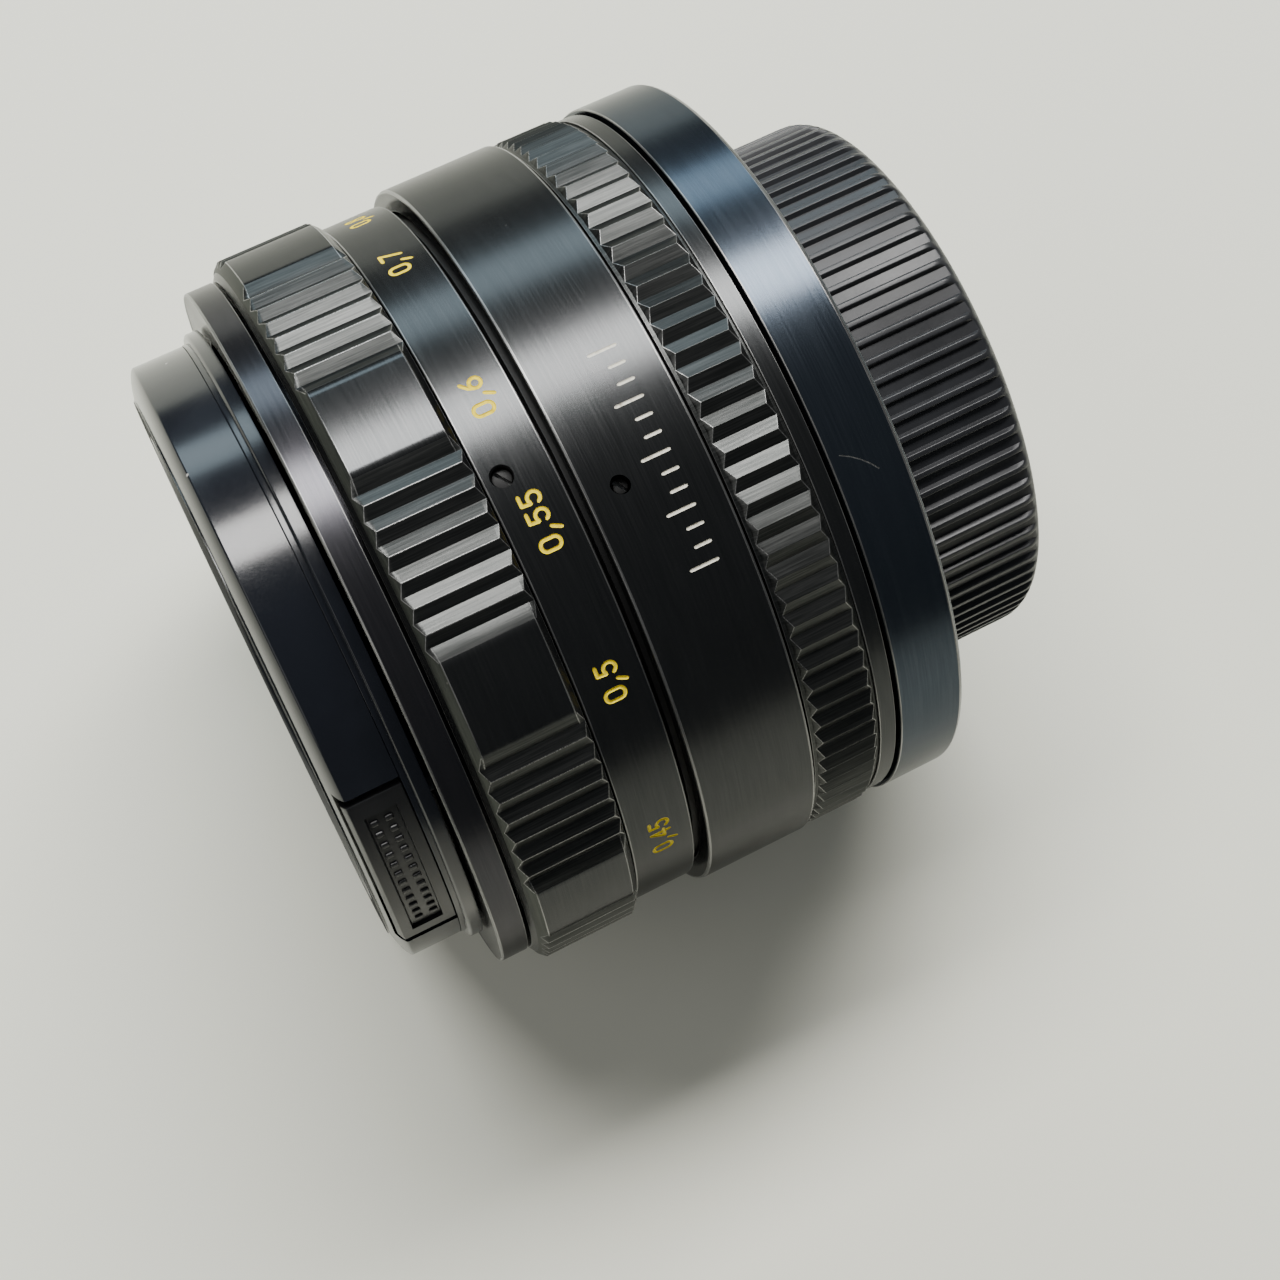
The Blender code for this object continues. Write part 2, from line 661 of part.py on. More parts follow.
def make_blade(index, meshes, axis):
    """One blade, with its origin on its pivot. Blades on one level share a mesh."""
    level = index % BLADE_LEVELS
    station = BLADE_FIRST_STATION + level * BLADE_LEVEL_STEP
    name = f"iris_blade_{index + 1}"
    if level not in meshes:
        meshes[level] = blade_mesh(name, level)
    blade = bpy.data.objects.new(name, meshes[level])
    bpy.context.scene.collection.objects.link(blade)
    blade.parent = axis
    angle = 360.0 * index / BLADES
    blade.location = point(PIVOT_RADIUS, angle, station)
    blade.rotation_euler = (0.0, -math.radians(angle), 0.0)
    pins = bmesh.new()
    cam_x, cam_z = cam_pin_place()
    half = BLADE_THICKNESS / 2
    cam = Vector((-cam_x, 0.0, cam_z - PIVOT_RADIUS))
    forward = station - (DRIVE_RING_FRONT + 0.2)
    back = BASE_PLATE_REAR - 0.2 - station
    rod_faces(pins, PIN_RADIUS, Vector((0.0, -half * 0.5, 0.0)) * MM, Vector((0.0, back, 0.0)) * MM, 8)
    rod_faces(pins, PIN_RADIUS, (cam + Vector((0.0, half * 0.5, 0.0))) * MM,
              (cam - Vector((0.0, forward, 0.0))) * MM, 8)
    combine(blade, make_cutter(f"{name}_pins", pins, blade), "UNION")


def blade_mesh(name, level):
    """A flat plate about the pivot, at angle 0."""
    shape = bmesh.new()
    half = BLADE_THICKNESS / 2
    front = []
    rear = []
    for radius, angle in blade_outline():
        turn = math.radians(angle)
        across = -radius * math.sin(turn)
        up = radius * math.cos(turn) - PIVOT_RADIUS
        front.append(shape.verts.new(Vector((across, -half, up)) * MM))
        rear.append(shape.verts.new(Vector((across, half, up)) * MM))
    shape.faces.new(front)
    shape.faces.new(rear[::-1])
    for index in range(len(front)):
        after = (index + 1) % len(front)
        shape.faces.new((front[index], rear[index], rear[after], front[after]))
    face_out(shape)
    mesh = bpy.data.meshes.new(f"{name}_level_{level}")
    shape.to_mesh(mesh)
    shape.free()
    mesh.materials.append(make_material(name, STEEL))
    return mesh


def make_iris_lever(axis):
    """The bar that carries the aperture ring's setting forward to the drive ring."""
    middle = LENGTH / 2
    bar = bmesh.new()
    box_faces(bar, (-IRIS_LEVER_HALF_WIDTH, DRIVE_RING_REAR + GAP - middle, IRIS_LEVER_INNER),
              (IRIS_LEVER_HALF_WIDTH, IRIS_LEVER_REAR - middle, IRIS_LEVER_OUTER),
              polar_frame(IRIS_LEVER_ANGLE))
    finish_mesh("iris_lever", bar, STEEL, axis)


def make_focus_ring(axis):
    """The knurled grip and the distance scale ring, joined by a threaded sleeve."""
    outline = grip_outline()
    rear_outline = [(min(radius, GRIP_REAR_RADIUS), angle) for radius, angle in outline]
    turned("focus_grip", [
        (GRIP_BORE, GRIP_FRONT), (RIM_RADIUS, GRIP_FRONT), (outline, GRIP_CREST_FRONT),
        (outline, GRIP_CREST_REAR), (rear_outline, GRIP_REAR), (GRIP_BORE, GRIP_REAR)],
        BLACK_METAL, axis, OUTER_SEGMENTS)
    scale = turned("distance_scale_ring", [
        (GRIP_BORE, SCALE_FRONT), (SCALE_RADIUS - SCALE_EDGE, SCALE_FRONT),
        (SCALE_RADIUS, SCALE_FRONT + SCALE_EDGE), (SCALE_RADIUS, SCALE_REAR - SCALE_EDGE),
        (SCALE_RADIUS - SCALE_EDGE, SCALE_REAR), (GRIP_BORE, SCALE_REAR)],
        BLACK_METAL, axis, OUTER_SEGMENTS)
    hole = bmesh.new()
    rod_faces(hole, SCALE_SCREW_HOLE, point(GRIP_BORE - 0.7, SCALE_SCREW_ANGLE, SCALE_SCREW_STATION),
              point(SCALE_RADIUS + 1.3, SCALE_SCREW_ANGLE, SCALE_SCREW_STATION))
    combine(scale, make_cutter("scale_screw_hole", hole, axis))
    make_grub_screw("scale_grub_screw", SCALE_SCREW_RADIUS, SCALE_SCREW_INNER, SCALE_SCREW_OUTER,
                    SCALE_SCREW_ANGLE, SCALE_SCREW_STATION, axis)
    turned("helicoid_sleeve", [
        (HELICOID_INNER, HELICOID_FRONT), (HELICOID_OUTER, HELICOID_FRONT),
        (HELICOID_OUTER, HELICOID_REAR), (HELICOID_REAR_BORE, HELICOID_REAR),
        (HELICOID_REAR_BORE, HELICOID_STEP), (HELICOID_INNER, HELICOID_STEP)], BRASS, axis)


def make_grub_screw(name, radius, low, high, angle, station, axis):
    """A headless screw with a driver slot across its outer end."""
    screw = bmesh.new()
    rod_faces(screw, radius, point(low, angle, station), point(high, angle, station))
    grub = finish_mesh(name, screw, STEEL, axis)
    slot = bmesh.new()
    middle = LENGTH / 2
    half = SCREW_SLOT_WIDTH / 2
    box_faces(slot, (-1.2, station - half - middle, high - SCREW_SLOT_DEPTH),
              (1.2, station + half - middle, high + 1.0), polar_frame(angle))
    combine(grub, make_cutter(f"{name}_slot", slot, axis))


def make_fixed_barrel(axis):
    """The sleeve that everything turns or slides on, its depth scale ring and its guide keys."""
    sleeve = turned("main_sleeve", [
        (27.25, 17.0), (28.15, 17.0), (28.15, 24.9), (29.5, 24.9), (29.5, 35.0), (28.3, 35.0),
        (28.3, 44.9), (24.9, 44.9), (24.9, 35.3), (27.25, 35.3)], BARE_ALUMINIUM, axis, 32)
    cuts = bmesh.new()
    rod_faces(cuts, CLICK_HOLE_RADIUS, point(25.5, CLICK_ANGLE, CLICK_STATION),
              point(30.0, CLICK_ANGLE, CLICK_STATION))
    make_cam_window(cuts)
    combine(sleeve, make_cutter("sleeve_cuts", cuts, axis))
    ring = turned("fixed_ring", [
        (FIXED_BORE, FIXED_FRONT), (FIXED_RADIUS - FIXED_EDGE, FIXED_FRONT),
        (FIXED_RADIUS, FIXED_FRONT + FIXED_EDGE), (FIXED_RADIUS, FIXED_REAR - FIXED_EDGE),
        (FIXED_RADIUS - FIXED_EDGE, FIXED_REAR), (FIXED_BORE, FIXED_REAR)],
        BLACK_METAL, axis, OUTER_SEGMENTS)
    hole = bmesh.new()
    rod_faces(hole, FIXED_SCREW_HOLE, point(FIXED_BORE - 0.8, FIXED_SCREW_ANGLE, FIXED_SCREW_STATION),
              point(FIXED_RADIUS + 1.35, FIXED_SCREW_ANGLE, FIXED_SCREW_STATION))
    combine(ring, make_cutter("fixed_screw_hole", hole, axis))
    make_grub_screw("fixed_grub_screw", FIXED_SCREW_RADIUS, FIXED_SCREW_INNER, FIXED_SCREW_OUTER,
                    FIXED_SCREW_ANGLE, FIXED_SCREW_STATION, axis)
    middle = LENGTH / 2
    for number, angle in enumerate(KEY_ANGLES, 1):
        key = bmesh.new()
        box_faces(key, (-KEY_HALF_WIDTH, KEY_FRONT - middle, KEY_INNER),
                  (KEY_HALF_WIDTH, KEY_REAR - middle, KEY_OUTER), polar_frame(angle))
        finish_mesh(f"guide_key_{number}", key, BRASS, axis)


def make_cam_window(shape):
    """The window in the sleeve that the aperture ring's cam lug swings in."""
    steps = 6
    low = CAM_ANGLE - CAM_WINDOW_MARGIN
    high = CAM_ANGLE + APERTURE_THROW + CAM_WINDOW_MARGIN
    sections = []
    for index in range(steps + 1):
        angle = low + (high - low) * index / steps
        corners = ((23.5, CAM_WINDOW_FRONT), (30.5, CAM_WINDOW_FRONT),
                   (30.5, CAM_WINDOW_REAR), (23.5, CAM_WINDOW_REAR))
        sections.append([shape.verts.new(point(radius, angle, station)) for radius, station in corners])
    for near, far in zip(sections, sections[1:]):
        for corner in range(4):
            after = (corner + 1) % 4
            shape.faces.new((near[corner], near[after], far[after], far[corner]))
    shape.faces.new(sections[0])
    shape.faces.new(sections[-1])


def make_aperture_ring(axis):
    """The ribbed ring that sets the iris, its cam lug and the click ball under it."""
    outline = rib_outline(APERTURE_RIBS, APERTURE_RADIUS, APERTURE_ROOT, APERTURE_RIB_PHASE)
    turned("aperture_ring", [
        (APERTURE_BORE, APERTURE_FRONT), (APERTURE_ROOT, APERTURE_FRONT),
        (APERTURE_ROOT, APERTURE_RIB_FRONT - APERTURE_CHAMFER), (outline, APERTURE_RIB_FRONT),
        (outline, APERTURE_RIB_REAR), (APERTURE_ROOT, APERTURE_RIB_REAR + APERTURE_CHAMFER),
        (STRIP_RADIUS, STRIP_FRONT), (STRIP_RADIUS, APERTURE_REAR),
        (APERTURE_BORE, APERTURE_REAR)], BLACK_METAL, axis, OUTER_SEGMENTS)
    middle = LENGTH / 2
    lug = bmesh.new()
    box_faces(lug, (-CAM_LUG_HALF_WIDTH, CAM_LUG_FRONT - middle, CAM_LUG_INNER),
              (CAM_LUG_HALF_WIDTH, CAM_LUG_REAR - middle, CAM_LUG_OUTER), polar_frame(CAM_ANGLE))
    finish_mesh("aperture_cam_lug", lug, STEEL, axis)
    ball = bmesh.new()
    centre = Matrix.Translation(point(CLICK_BALL_CENTRE, CLICK_ANGLE, CLICK_STATION))
    bmesh.ops.create_icosphere(ball, subdivisions=2, radius=CLICK_BALL_RADIUS * MM, matrix=centre)
    finish_mesh("click_ball", ball, STEEL, axis)
    spring_mesh("click_spring", CLICK_SPRING_RADIUS, CLICK_SPRING_WIRE,
                point(25.7, CLICK_ANGLE, CLICK_STATION), point(26.5, CLICK_ANGLE, CLICK_STATION), 2,
                STEEL, axis)


def make_mount(axis):
    """The rear housing, the threaded mount ring, the baffle in it and the sprung stop-down pin."""
    shell = turned("mount_housing", [
        (MOUNT_SLEEVE_RADIUS, MOUNT_FRONT), (MOUNT_RADIUS, MOUNT_FRONT),
        (MOUNT_RADIUS, FLANGE - MOUNT_EDGE), (MOUNT_RADIUS - MOUNT_EDGE, FLANGE),
        (MOUNT_BORE, FLANGE), (MOUNT_BORE, MOUNT_WALL_FRONT),
        (MOUNT_SLEEVE_RADIUS, MOUNT_WALL_FRONT)], BLACK_METAL, axis, OUTER_SEGMENTS)
    for name, radius, low, high in (("head", MOUNT_HEAD_HOLE, MOUNT_HEAD_FLOOR, FLANGE + 1.72),
                                    ("shank", MOUNT_SHANK_HOLE, 44.0, MOUNT_HEAD_FLOOR + 0.2)):
        holes = bmesh.new()
        for angle in MOUNT_SCREW_ANGLES:
            rod_faces(holes, radius, point(MOUNT_SCREW_CIRCLE, angle, low),
                      point(MOUNT_SCREW_CIRCLE, angle, high))
        combine(shell, make_cutter(f"mount_{name}_holes", holes, axis))
    for number, angle in enumerate(MOUNT_SCREW_ANGLES, 1):
        make_mount_screw(number, angle, axis)
    turned("mount_thread", [
        (THREAD_BORE, THREAD_SEAT_FRONT), (THREAD_SEAT_RADIUS, THREAD_SEAT_FRONT),
        (THREAD_SEAT_RADIUS, FLANGE), (THREAD_RADIUS, FLANGE),
        (THREAD_RADIUS, THREAD_REAR - 0.4), (THREAD_RADIUS - 0.4, THREAD_REAR),
        (THREAD_BORE, THREAD_REAR)], BARE_ALUMINIUM, axis, 30)
    baffle = turned("rear_baffle", [(14.2, 45.6), (19.0, 45.6), (19.0, 46.5), (14.2, 46.5)],
                    BLACKENED_INSIDE, axis)
    guide = turned("pin_guide_plate", [
        (15.2, GUIDE_PLATE_FRONT), (24.6, GUIDE_PLATE_FRONT), (24.6, GUIDE_PLATE_REAR),
        (15.2, GUIDE_PLATE_REAR)], BLACKENED_INSIDE, axis)
    pin_path = bmesh.new()
    rod_faces(pin_path, STOP_PIN_HOLE, point(STOP_PIN_RADIUS, STOP_PIN_ANGLE, 35.0),
              point(STOP_PIN_RADIUS, STOP_PIN_ANGLE, 48.0))
    combine(baffle, make_cutter("baffle_pin_hole", pin_path, axis))
    guide_cuts = bmesh.new()
    rod_faces(guide_cuts, STOP_PIN_HOLE, point(STOP_PIN_RADIUS, STOP_PIN_ANGLE, 35.0),
              point(STOP_PIN_RADIUS, STOP_PIN_ANGLE, 38.0))
    middle = LENGTH / 2
    box_faces(guide_cuts, (-3.4, 35.0 - middle, 18.4), (3.4, 38.0 - middle, 26.0),
              polar_frame(IRIS_LEVER_ANGLE))
    combine(guide, make_cutter("guide_plate_cuts", guide_cuts, axis))
    make_stop_pin(axis)


def make_mount_screw(number, angle, axis):
    """A slotted cheese-head screw, flush in the rear housing."""
    screw = bmesh.new()
    rod_faces(screw, MOUNT_SCREW_HEAD, point(MOUNT_SCREW_CIRCLE, angle, MOUNT_HEAD_FLOOR + GAP),
              point(MOUNT_SCREW_CIRCLE, angle, FLANGE - 0.08))
    head = finish_mesh(f"mount_screw_{number}", screw, STEEL, axis)
    shank = bmesh.new()
    rod_faces(shank, MOUNT_SCREW_SHANK, point(MOUNT_SCREW_CIRCLE, angle, MOUNT_SCREW_TIP),
              point(MOUNT_SCREW_CIRCLE, angle, MOUNT_HEAD_FLOOR + 0.6))
    combine(head, make_cutter(f"mount_shank_{number}", shank, axis), "UNION")
    slot = bmesh.new()
    middle = LENGTH / 2
    half = MOUNT_SCREW_SLOT / 2
    box_faces(slot, (-2.0, FLANGE - 0.48 - middle, MOUNT_SCREW_CIRCLE - half),
              (2.0, FLANGE + 0.72 - middle, MOUNT_SCREW_CIRCLE + half), polar_frame(angle))
    combine(head, make_cutter(f"mount_slot_{number}", slot, axis))


def make_stop_pin(axis):
    """The pin that the camera body presses to close the iris, and its return spring."""
    rod = bmesh.new()
    rod_faces(rod, STOP_PIN_THICKNESS, point(STOP_PIN_RADIUS, STOP_PIN_ANGLE, STOP_PIN_FRONT),
              point(STOP_PIN_RADIUS, STOP_PIN_ANGLE, STOP_PIN_REAR))
    pin = finish_mesh("stop_down_pin", rod, STEEL, axis)
    collar = bmesh.new()
    rod_faces(collar, STOP_COLLAR_RADIUS, point(STOP_PIN_RADIUS, STOP_PIN_ANGLE, STOP_COLLAR_FRONT),
              point(STOP_PIN_RADIUS, STOP_PIN_ANGLE, STOP_COLLAR_REAR))
    combine(pin, make_cutter("pin_collar", collar, axis), "UNION")
    spring_mesh("pin_spring", 1.3, 0.15,
                point(STOP_PIN_RADIUS, STOP_PIN_ANGLE, GUIDE_PLATE_REAR + 0.5),
                point(STOP_PIN_RADIUS, STOP_PIN_ANGLE, STOP_COLLAR_FRONT - 0.5), 5, STEEL, axis)


def make_rear_cap(axis):
    """A ribbed cup that screws over the mount thread."""
    root = REAR_CAP_RADIUS - REAR_CAP_RIB_DEPTH
    ribs = rib_outline(REAR_CAP_RIBS, REAR_CAP_RADIUS, root)
    turned("rear_cap", [
        (0, LENGTH), (REAR_CAP_RADIUS - 1.9, LENGTH), (REAR_CAP_RADIUS - 0.6, 60.3), (ribs, 59.3),
        (ribs, 50.4), (root, 50.2), (root, REAR_CAP_FRONT), (REAR_CAP_BORE, REAR_CAP_FRONT),
        (REAR_CAP_BORE, REAR_CAP_FLOOR), (0, REAR_CAP_FLOOR)], SATIN_PLASTIC, axis, 36)


def main():
    clear_scene()
    axis = make_axis()
    make_front_cap(axis)
    make_front_barrel(axis)
    make_optics(axis)
    make_iris(axis)
    make_focus_ring(axis)
    make_fixed_barrel(axis)
    make_aperture_ring(axis)
    make_mount(axis)
    make_rear_cap(axis)


main()
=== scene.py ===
"""The looks of a 50 mm prime camera lens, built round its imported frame.

Lengths are in millimetres and become metres in the helpers. A station is a distance along the
optical axis behind the front cap's face. An angle goes round the optical axis from +Z towards -X.
"""

import math

import bmesh
import bpy
from mathutils import Matrix, Vector


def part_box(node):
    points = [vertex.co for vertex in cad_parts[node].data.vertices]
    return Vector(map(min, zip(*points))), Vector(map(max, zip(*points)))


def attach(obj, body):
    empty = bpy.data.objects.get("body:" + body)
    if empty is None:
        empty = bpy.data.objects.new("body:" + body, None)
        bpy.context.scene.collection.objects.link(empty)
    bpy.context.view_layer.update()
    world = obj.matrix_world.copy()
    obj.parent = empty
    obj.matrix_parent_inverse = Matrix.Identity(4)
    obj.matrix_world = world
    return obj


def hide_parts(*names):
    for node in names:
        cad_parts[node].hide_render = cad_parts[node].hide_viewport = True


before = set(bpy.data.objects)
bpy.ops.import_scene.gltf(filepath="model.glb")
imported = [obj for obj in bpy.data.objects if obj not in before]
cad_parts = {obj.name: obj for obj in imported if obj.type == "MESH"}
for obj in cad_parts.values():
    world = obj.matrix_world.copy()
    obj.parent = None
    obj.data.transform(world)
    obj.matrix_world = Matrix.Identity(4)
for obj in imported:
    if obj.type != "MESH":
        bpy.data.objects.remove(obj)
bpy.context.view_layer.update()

MM = 0.001
FRONT_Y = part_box("front_cap_cover")[0].y
AXIS_HEIGHT = (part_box("fixed_ring")[0].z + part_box("fixed_ring")[1].z) / 2
FINE = 288
ENGRAVED = 480

# The camera looks down at the lens, from a little towards +X and turned to the rear
VIEW_TILT = 16.0
VIEW_DISTANCE = 184.3
VIEW_STATION = -1.92
VIEW_TURN = (15.48, -3.22, 62.86)
FOCAL_LENGTH = 61.6

# Soft lights, at angles round the optical axis from the camera's side
KEY_ANGLE = 42.2
WINDOW_ANGLE = 79.0

# Front cap. The bevel of its front edge runs from the face into the side, as (radius, station)
CAP_BEVEL = [(24.2, 0.0), (24.2, 0.1), (25.09, 0.3), (25.71, 0.5), (26.18, 0.7), (26.5, 0.9),
             (26.61, 1.0)]
CAP_SIDE_FRONT = 1.12
CAP_REAR = 5.35
CAP_DISH_RADIUS = 21.0
CAP_DISH_DEPTH = 0.4
CAP_WALL = 1.2
CAP_INSIDE_FRONT = 1.6
CAP_BOSS_RADIUS = 4.2
CAP_BOSS_REAR = 5.2
CAP_WINDOW_HALF_ANGLE = 19.5
CAP_WINDOW_FLOOR = 21.3
LEVER_ANGLES = {"left": 118.8, "right": -61.2}
LEVER_RADIUS = 26.6
LEVER_INNER_RADIUS = 24.9
LEVER_FRONT = 0.6
LEVER_REAR = 5.3
LEVER_HALF_ANGLE = 18.9
LEVER_PANEL_DEPTH = 0.3
LEVER_PANEL_HALF_ANGLE = 15.8
LEVER_RIB_ROWS = 12
LEVER_RIB_PITCH = 2.45

# Front rim
FILTER_BORE = 26.1
FILTER_PITCH = 0.75
FILTER_THREAD_DEPTH = 0.35
FILTER_THREAD_FRONT = 8.1
FILTER_THREAD_REAR = 12.0
RIM_REAR = 9.6
RIM_LIP = 0.35
RIM_SKIRT_RADIUS = 27.9

# Focus ring. Both its ends are cones at 45 degrees, measured where they meet the groove bottoms
FOCUS_BORE = 29.2
GRIP_FACE_RADIUS = 30.35
GRIP_SHOULDER_RADIUS = 30.9
GRIP_SHOULDER_STATION = 0.36
GRIP_CONE_FRONT = 0.52
GRIP_CONE_REAR = 0.08
GRIP_LANDS = 9
GRIP_LAND_SPAN = 14.1
GRIP_GROOVES = 7
GRIP_GROOVE_PITCH = 3.64
GRIP_PHASE = 8.2
GRIP_CREST_DROP = 0.11
GRIP_GROOVE_DEPTH = 0.56

# Distance scale: the lens formula gives each distance its place
INDEX_ANGLE = 173.0
FOCAL = 50.0
DEGREES_PER_MM = 33.2
DISTANCES = ("0,45", "0,5", "0,55", "0,6", "0,7", "0,8", "1", "1,2", "1,5", "2", "3", "5")
NUMERAL_HEIGHT = 1.54
NUMERAL_BASE = 22.52

# Fixed ring
FIXED_BORE = 29.8
TICKS = 13
TICK_FIRST = -28.0
TICK_STEP = 2.6
TICK_TOP = 30.1
TICK_BASE = 32.2

# Aperture ring
APERTURE_BORE = 28.6
APERTURE_STRIP_RADIUS = 31.2
APERTURE_RIBS_FRONT = 35.35
APERTURE_RIBS_REAR = 40.62
APERTURE_SEAM = 40.86
APERTURE_RIBS = 98
APERTURE_RIB_PHASE = 2.37
APERTURE_RIB_CREST = 0.03
APERTURE_RIB_DEPTH = 0.45
STOPS = ("1,7", "2,8", "4", "5,6", "8", "11", "16")
STOP_STEP = 10.0

# Mount
MOUNT_SCREW_ANGLES = (30.0, 150.0, 270.0)
MOUNT_SCREW_RADIUS = 27.0
MOUNT_THREAD_CREST = 20.95
MOUNT_THREAD_DEPTH = 0.55
MOUNT_THREAD_PITCH = 1.0
MOUNT_FACE = 48.28
MOUNT_BORE = 19.3
SCRATCH_ANGLE = -22.6
SCRATCH_STATION = 43.5

# Rear cap
REAR_CAP_RIBS = 90
REAR_CAP_RIB_DEPTH = 0.4
REAR_CAP_BORE = 21.4
REAR_CAP_FLOOR = 1.6
REAR_CAP_EDGE = 1.9

# Grub screws, as (angle, station, hole radius, screw radius, top radius)
SCALE_SCREW = (-6.3, 20.7, 0.84, 0.76, 30.1)
FIXED_SCREW = (-14.1, 28.0, 0.64, 0.57, 30.9)


# ---------------------------------------------------------------- places

def point(radius, angle, station):
    """The place of a polar position, in metres in the frame."""
    turn = math.radians(angle)
    across = -radius * MM * math.sin(turn)
    up = AXIS_HEIGHT + radius * MM * math.cos(turn)
    return Vector((across, FRONT_Y + station * MM, up))


def outward(angle):
    turn = math.radians(angle)
    return Vector((-math.sin(turn), 0.0, math.cos(turn)))


def polar_place(angle, station, radius=0.0):
    """Local X runs towards greater angles' far side, Y along the axis and Z outwards."""
    place = Matrix.Translation(point(radius, angle, station))
    return place @ Matrix.Rotation(-math.radians(angle), 4, "Y")


def ring_size(node):
    """A turned node's front and rear stations and its largest radius."""
    low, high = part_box(node)
    corners = [vertex.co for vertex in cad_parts[node].data.vertices]
    radius = max(math.hypot(corner.x, corner.z - AXIS_HEIGHT) for corner in corners)
    return (low.y - FRONT_Y) / MM, (high.y - FRONT_Y) / MM, radius / MM


def bore_of(node):
    """A turned node's smallest radius."""
    corners = [vertex.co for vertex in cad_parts[node].data.vertices]
    return min(math.hypot(corner.x, corner.z - AXIS_HEIGHT) for corner in corners) / MM


def arc(centre, radius, start, end, steps=6):
    """Profile points (radius, station) on a quarter or other arc; 0 degrees points outwards and
    90 degrees to the rear."""
    points = []
    for step in range(steps + 1):
        turn = math.radians(start + (end - start) * step / steps)
        points.append((centre[0] + radius * math.cos(turn), centre[1] + radius * math.sin(turn)))
    return points


# ---------------------------------------------------------------- materials

def socket(shader, **values):
    for name, value in values.items():
        shader.inputs[name.replace("_", " ")].default_value = value


class Surface:
    """A procedural material under construction: a Principled BSDF fed from object coordinates."""

    def __init__(self, name, **constants):
        self.material = bpy.data.materials.new(name)
        self.material.use_nodes = True
        self.tree = self.material.node_tree
        self.shader = self.tree.nodes["Principled BSDF"]
        socket(self.shader, **constants)
        self.place = self.node("ShaderNodeTexCoord").outputs["Object"]

    def node(self, kind, inputs=(), **settings):
        made = self.tree.nodes.new(kind)
        for name, value in settings.items():
            setattr(made, name, value)
        for key, value in dict(inputs).items():
            if isinstance(value, bpy.types.NodeSocket):
                self.tree.links.new(value, made.inputs[key])
            else:
                made.inputs[key].default_value = value
        return made

    def math(self, operation, first, second=0.0):
        return self.node("ShaderNodeMath", {0: first, 1: second}, operation=operation).outputs[0]

    def unrolled(self, along, across):
        """Coordinates for marks that run round the optical axis: angle, station and radius, with
        a scale per radian round the axis and one per metre across it."""
        split = self.node("ShaderNodeSeparateXYZ", {0: self.place}).outputs
        up = self.math("SUBTRACT", split["Z"], AXIS_HEIGHT)
        angle = self.math("ARCTAN2", split["X"], up)
        reach = self.math("SQRT", self.math("ADD", self.math("MULTIPLY", split["X"], split["X"]),
                                            self.math("MULTIPLY", up, up)))
        return self.node("ShaderNodeCombineXYZ", {
            "X": self.math("MULTIPLY", angle, along),
            "Y": self.math("MULTIPLY", split["Y"], across),
            "Z": self.math("MULTIPLY", reach, across)}).outputs[0]

    def noise(self, vector, scale, detail=3.0, rough=0.55):
        return self.node("ShaderNodeTexNoise", {
            "Vector": vector, "Scale": scale, "Detail": detail, "Roughness": rough}).outputs[0]

    def ramp(self, value, low, high, out_low=0.0, out_high=1.0):
        return self.node("ShaderNodeMapRange", {
            "Value": value, "From Min": low, "From Max": high, "To Min": out_low,
            "To Max": out_high}).outputs[0]

    def mix(self, share, first, second):
        made = self.node("ShaderNodeMix", data_type="RGBA")
        for key, value in ((0, share), (6, first), (7, second)):
            if isinstance(value, bpy.types.NodeSocket):
                self.tree.links.new(value, made.inputs[key])
            elif key:
                made.inputs[key].default_value = (*value, 1.0)
            else:
                made.inputs[key].default_value = value
        return made.outputs[2]

    def colour(self, value):
        self.tree.links.new(value, self.shader.inputs["Base Color"])

    def roughness(self, value):
        self.tree.links.new(value, self.shader.inputs["Roughness"])

    def bump(self, height, strength, depth):
        made = self.node("ShaderNodeBump", {
            "Height": height, "Strength": strength, "Distance": depth * MM})
        self.tree.links.new(made.outputs[0], self.shader.inputs["Normal"])

    def dust(self, density):
        """A share that is 1 on rare small specks and 0 elsewhere."""
        cells = self.node("ShaderNodeTexVoronoi", {"Vector": self.place, "Scale": 450.0})
        speck = self.ramp(cells.outputs["Distance"], 0.075, 0.04)
        rare = self.math("GREATER_THAN", self.noise(self.place, 160.0, 1.0), 1.0 - density)
        return self.math("MULTIPLY", speck, rare)


def brushed_metal(name, colour, light, roughness, dust=0.3, bump=0.3, marks=(5.0, 9000.0), **constants):
    """Satin metal with fine tool marks under soft cloudy smudges. The marks' scales go round the
    optical axis and along it, and by default the marks run round it, as from a lathe."""
    surface = Surface(name, **constants)
    marks = surface.noise(surface.unrolled(*marks), 1.0, 4.0, 0.65)
    grain = surface.noise(surface.place, 14000.0, 2.0)
    cloud = surface.noise(surface.place, 55.0, 3.0)
    shade = surface.mix(surface.ramp(marks, 0.4, 0.75), colour, light)
    shade = surface.mix(surface.ramp(cloud, 0.5, 0.8, 0.0, 0.4), shade, light)
    surface.colour(surface.mix(surface.dust(dust), shade, (0.3, 0.29, 0.27)))
    spread = surface.math("ADD", surface.ramp(marks, 0.3, 0.7, -0.02, 0.02),
                          surface.ramp(cloud, 0.3, 0.7, roughness - 0.015, roughness + 0.02))
    surface.roughness(surface.math("ADD", spread, surface.ramp(grain, 0.3, 0.7, -0.01, 0.01)))
    surface.bump(surface.math("ADD", marks, grain), bump, 0.003)
    return surface.material


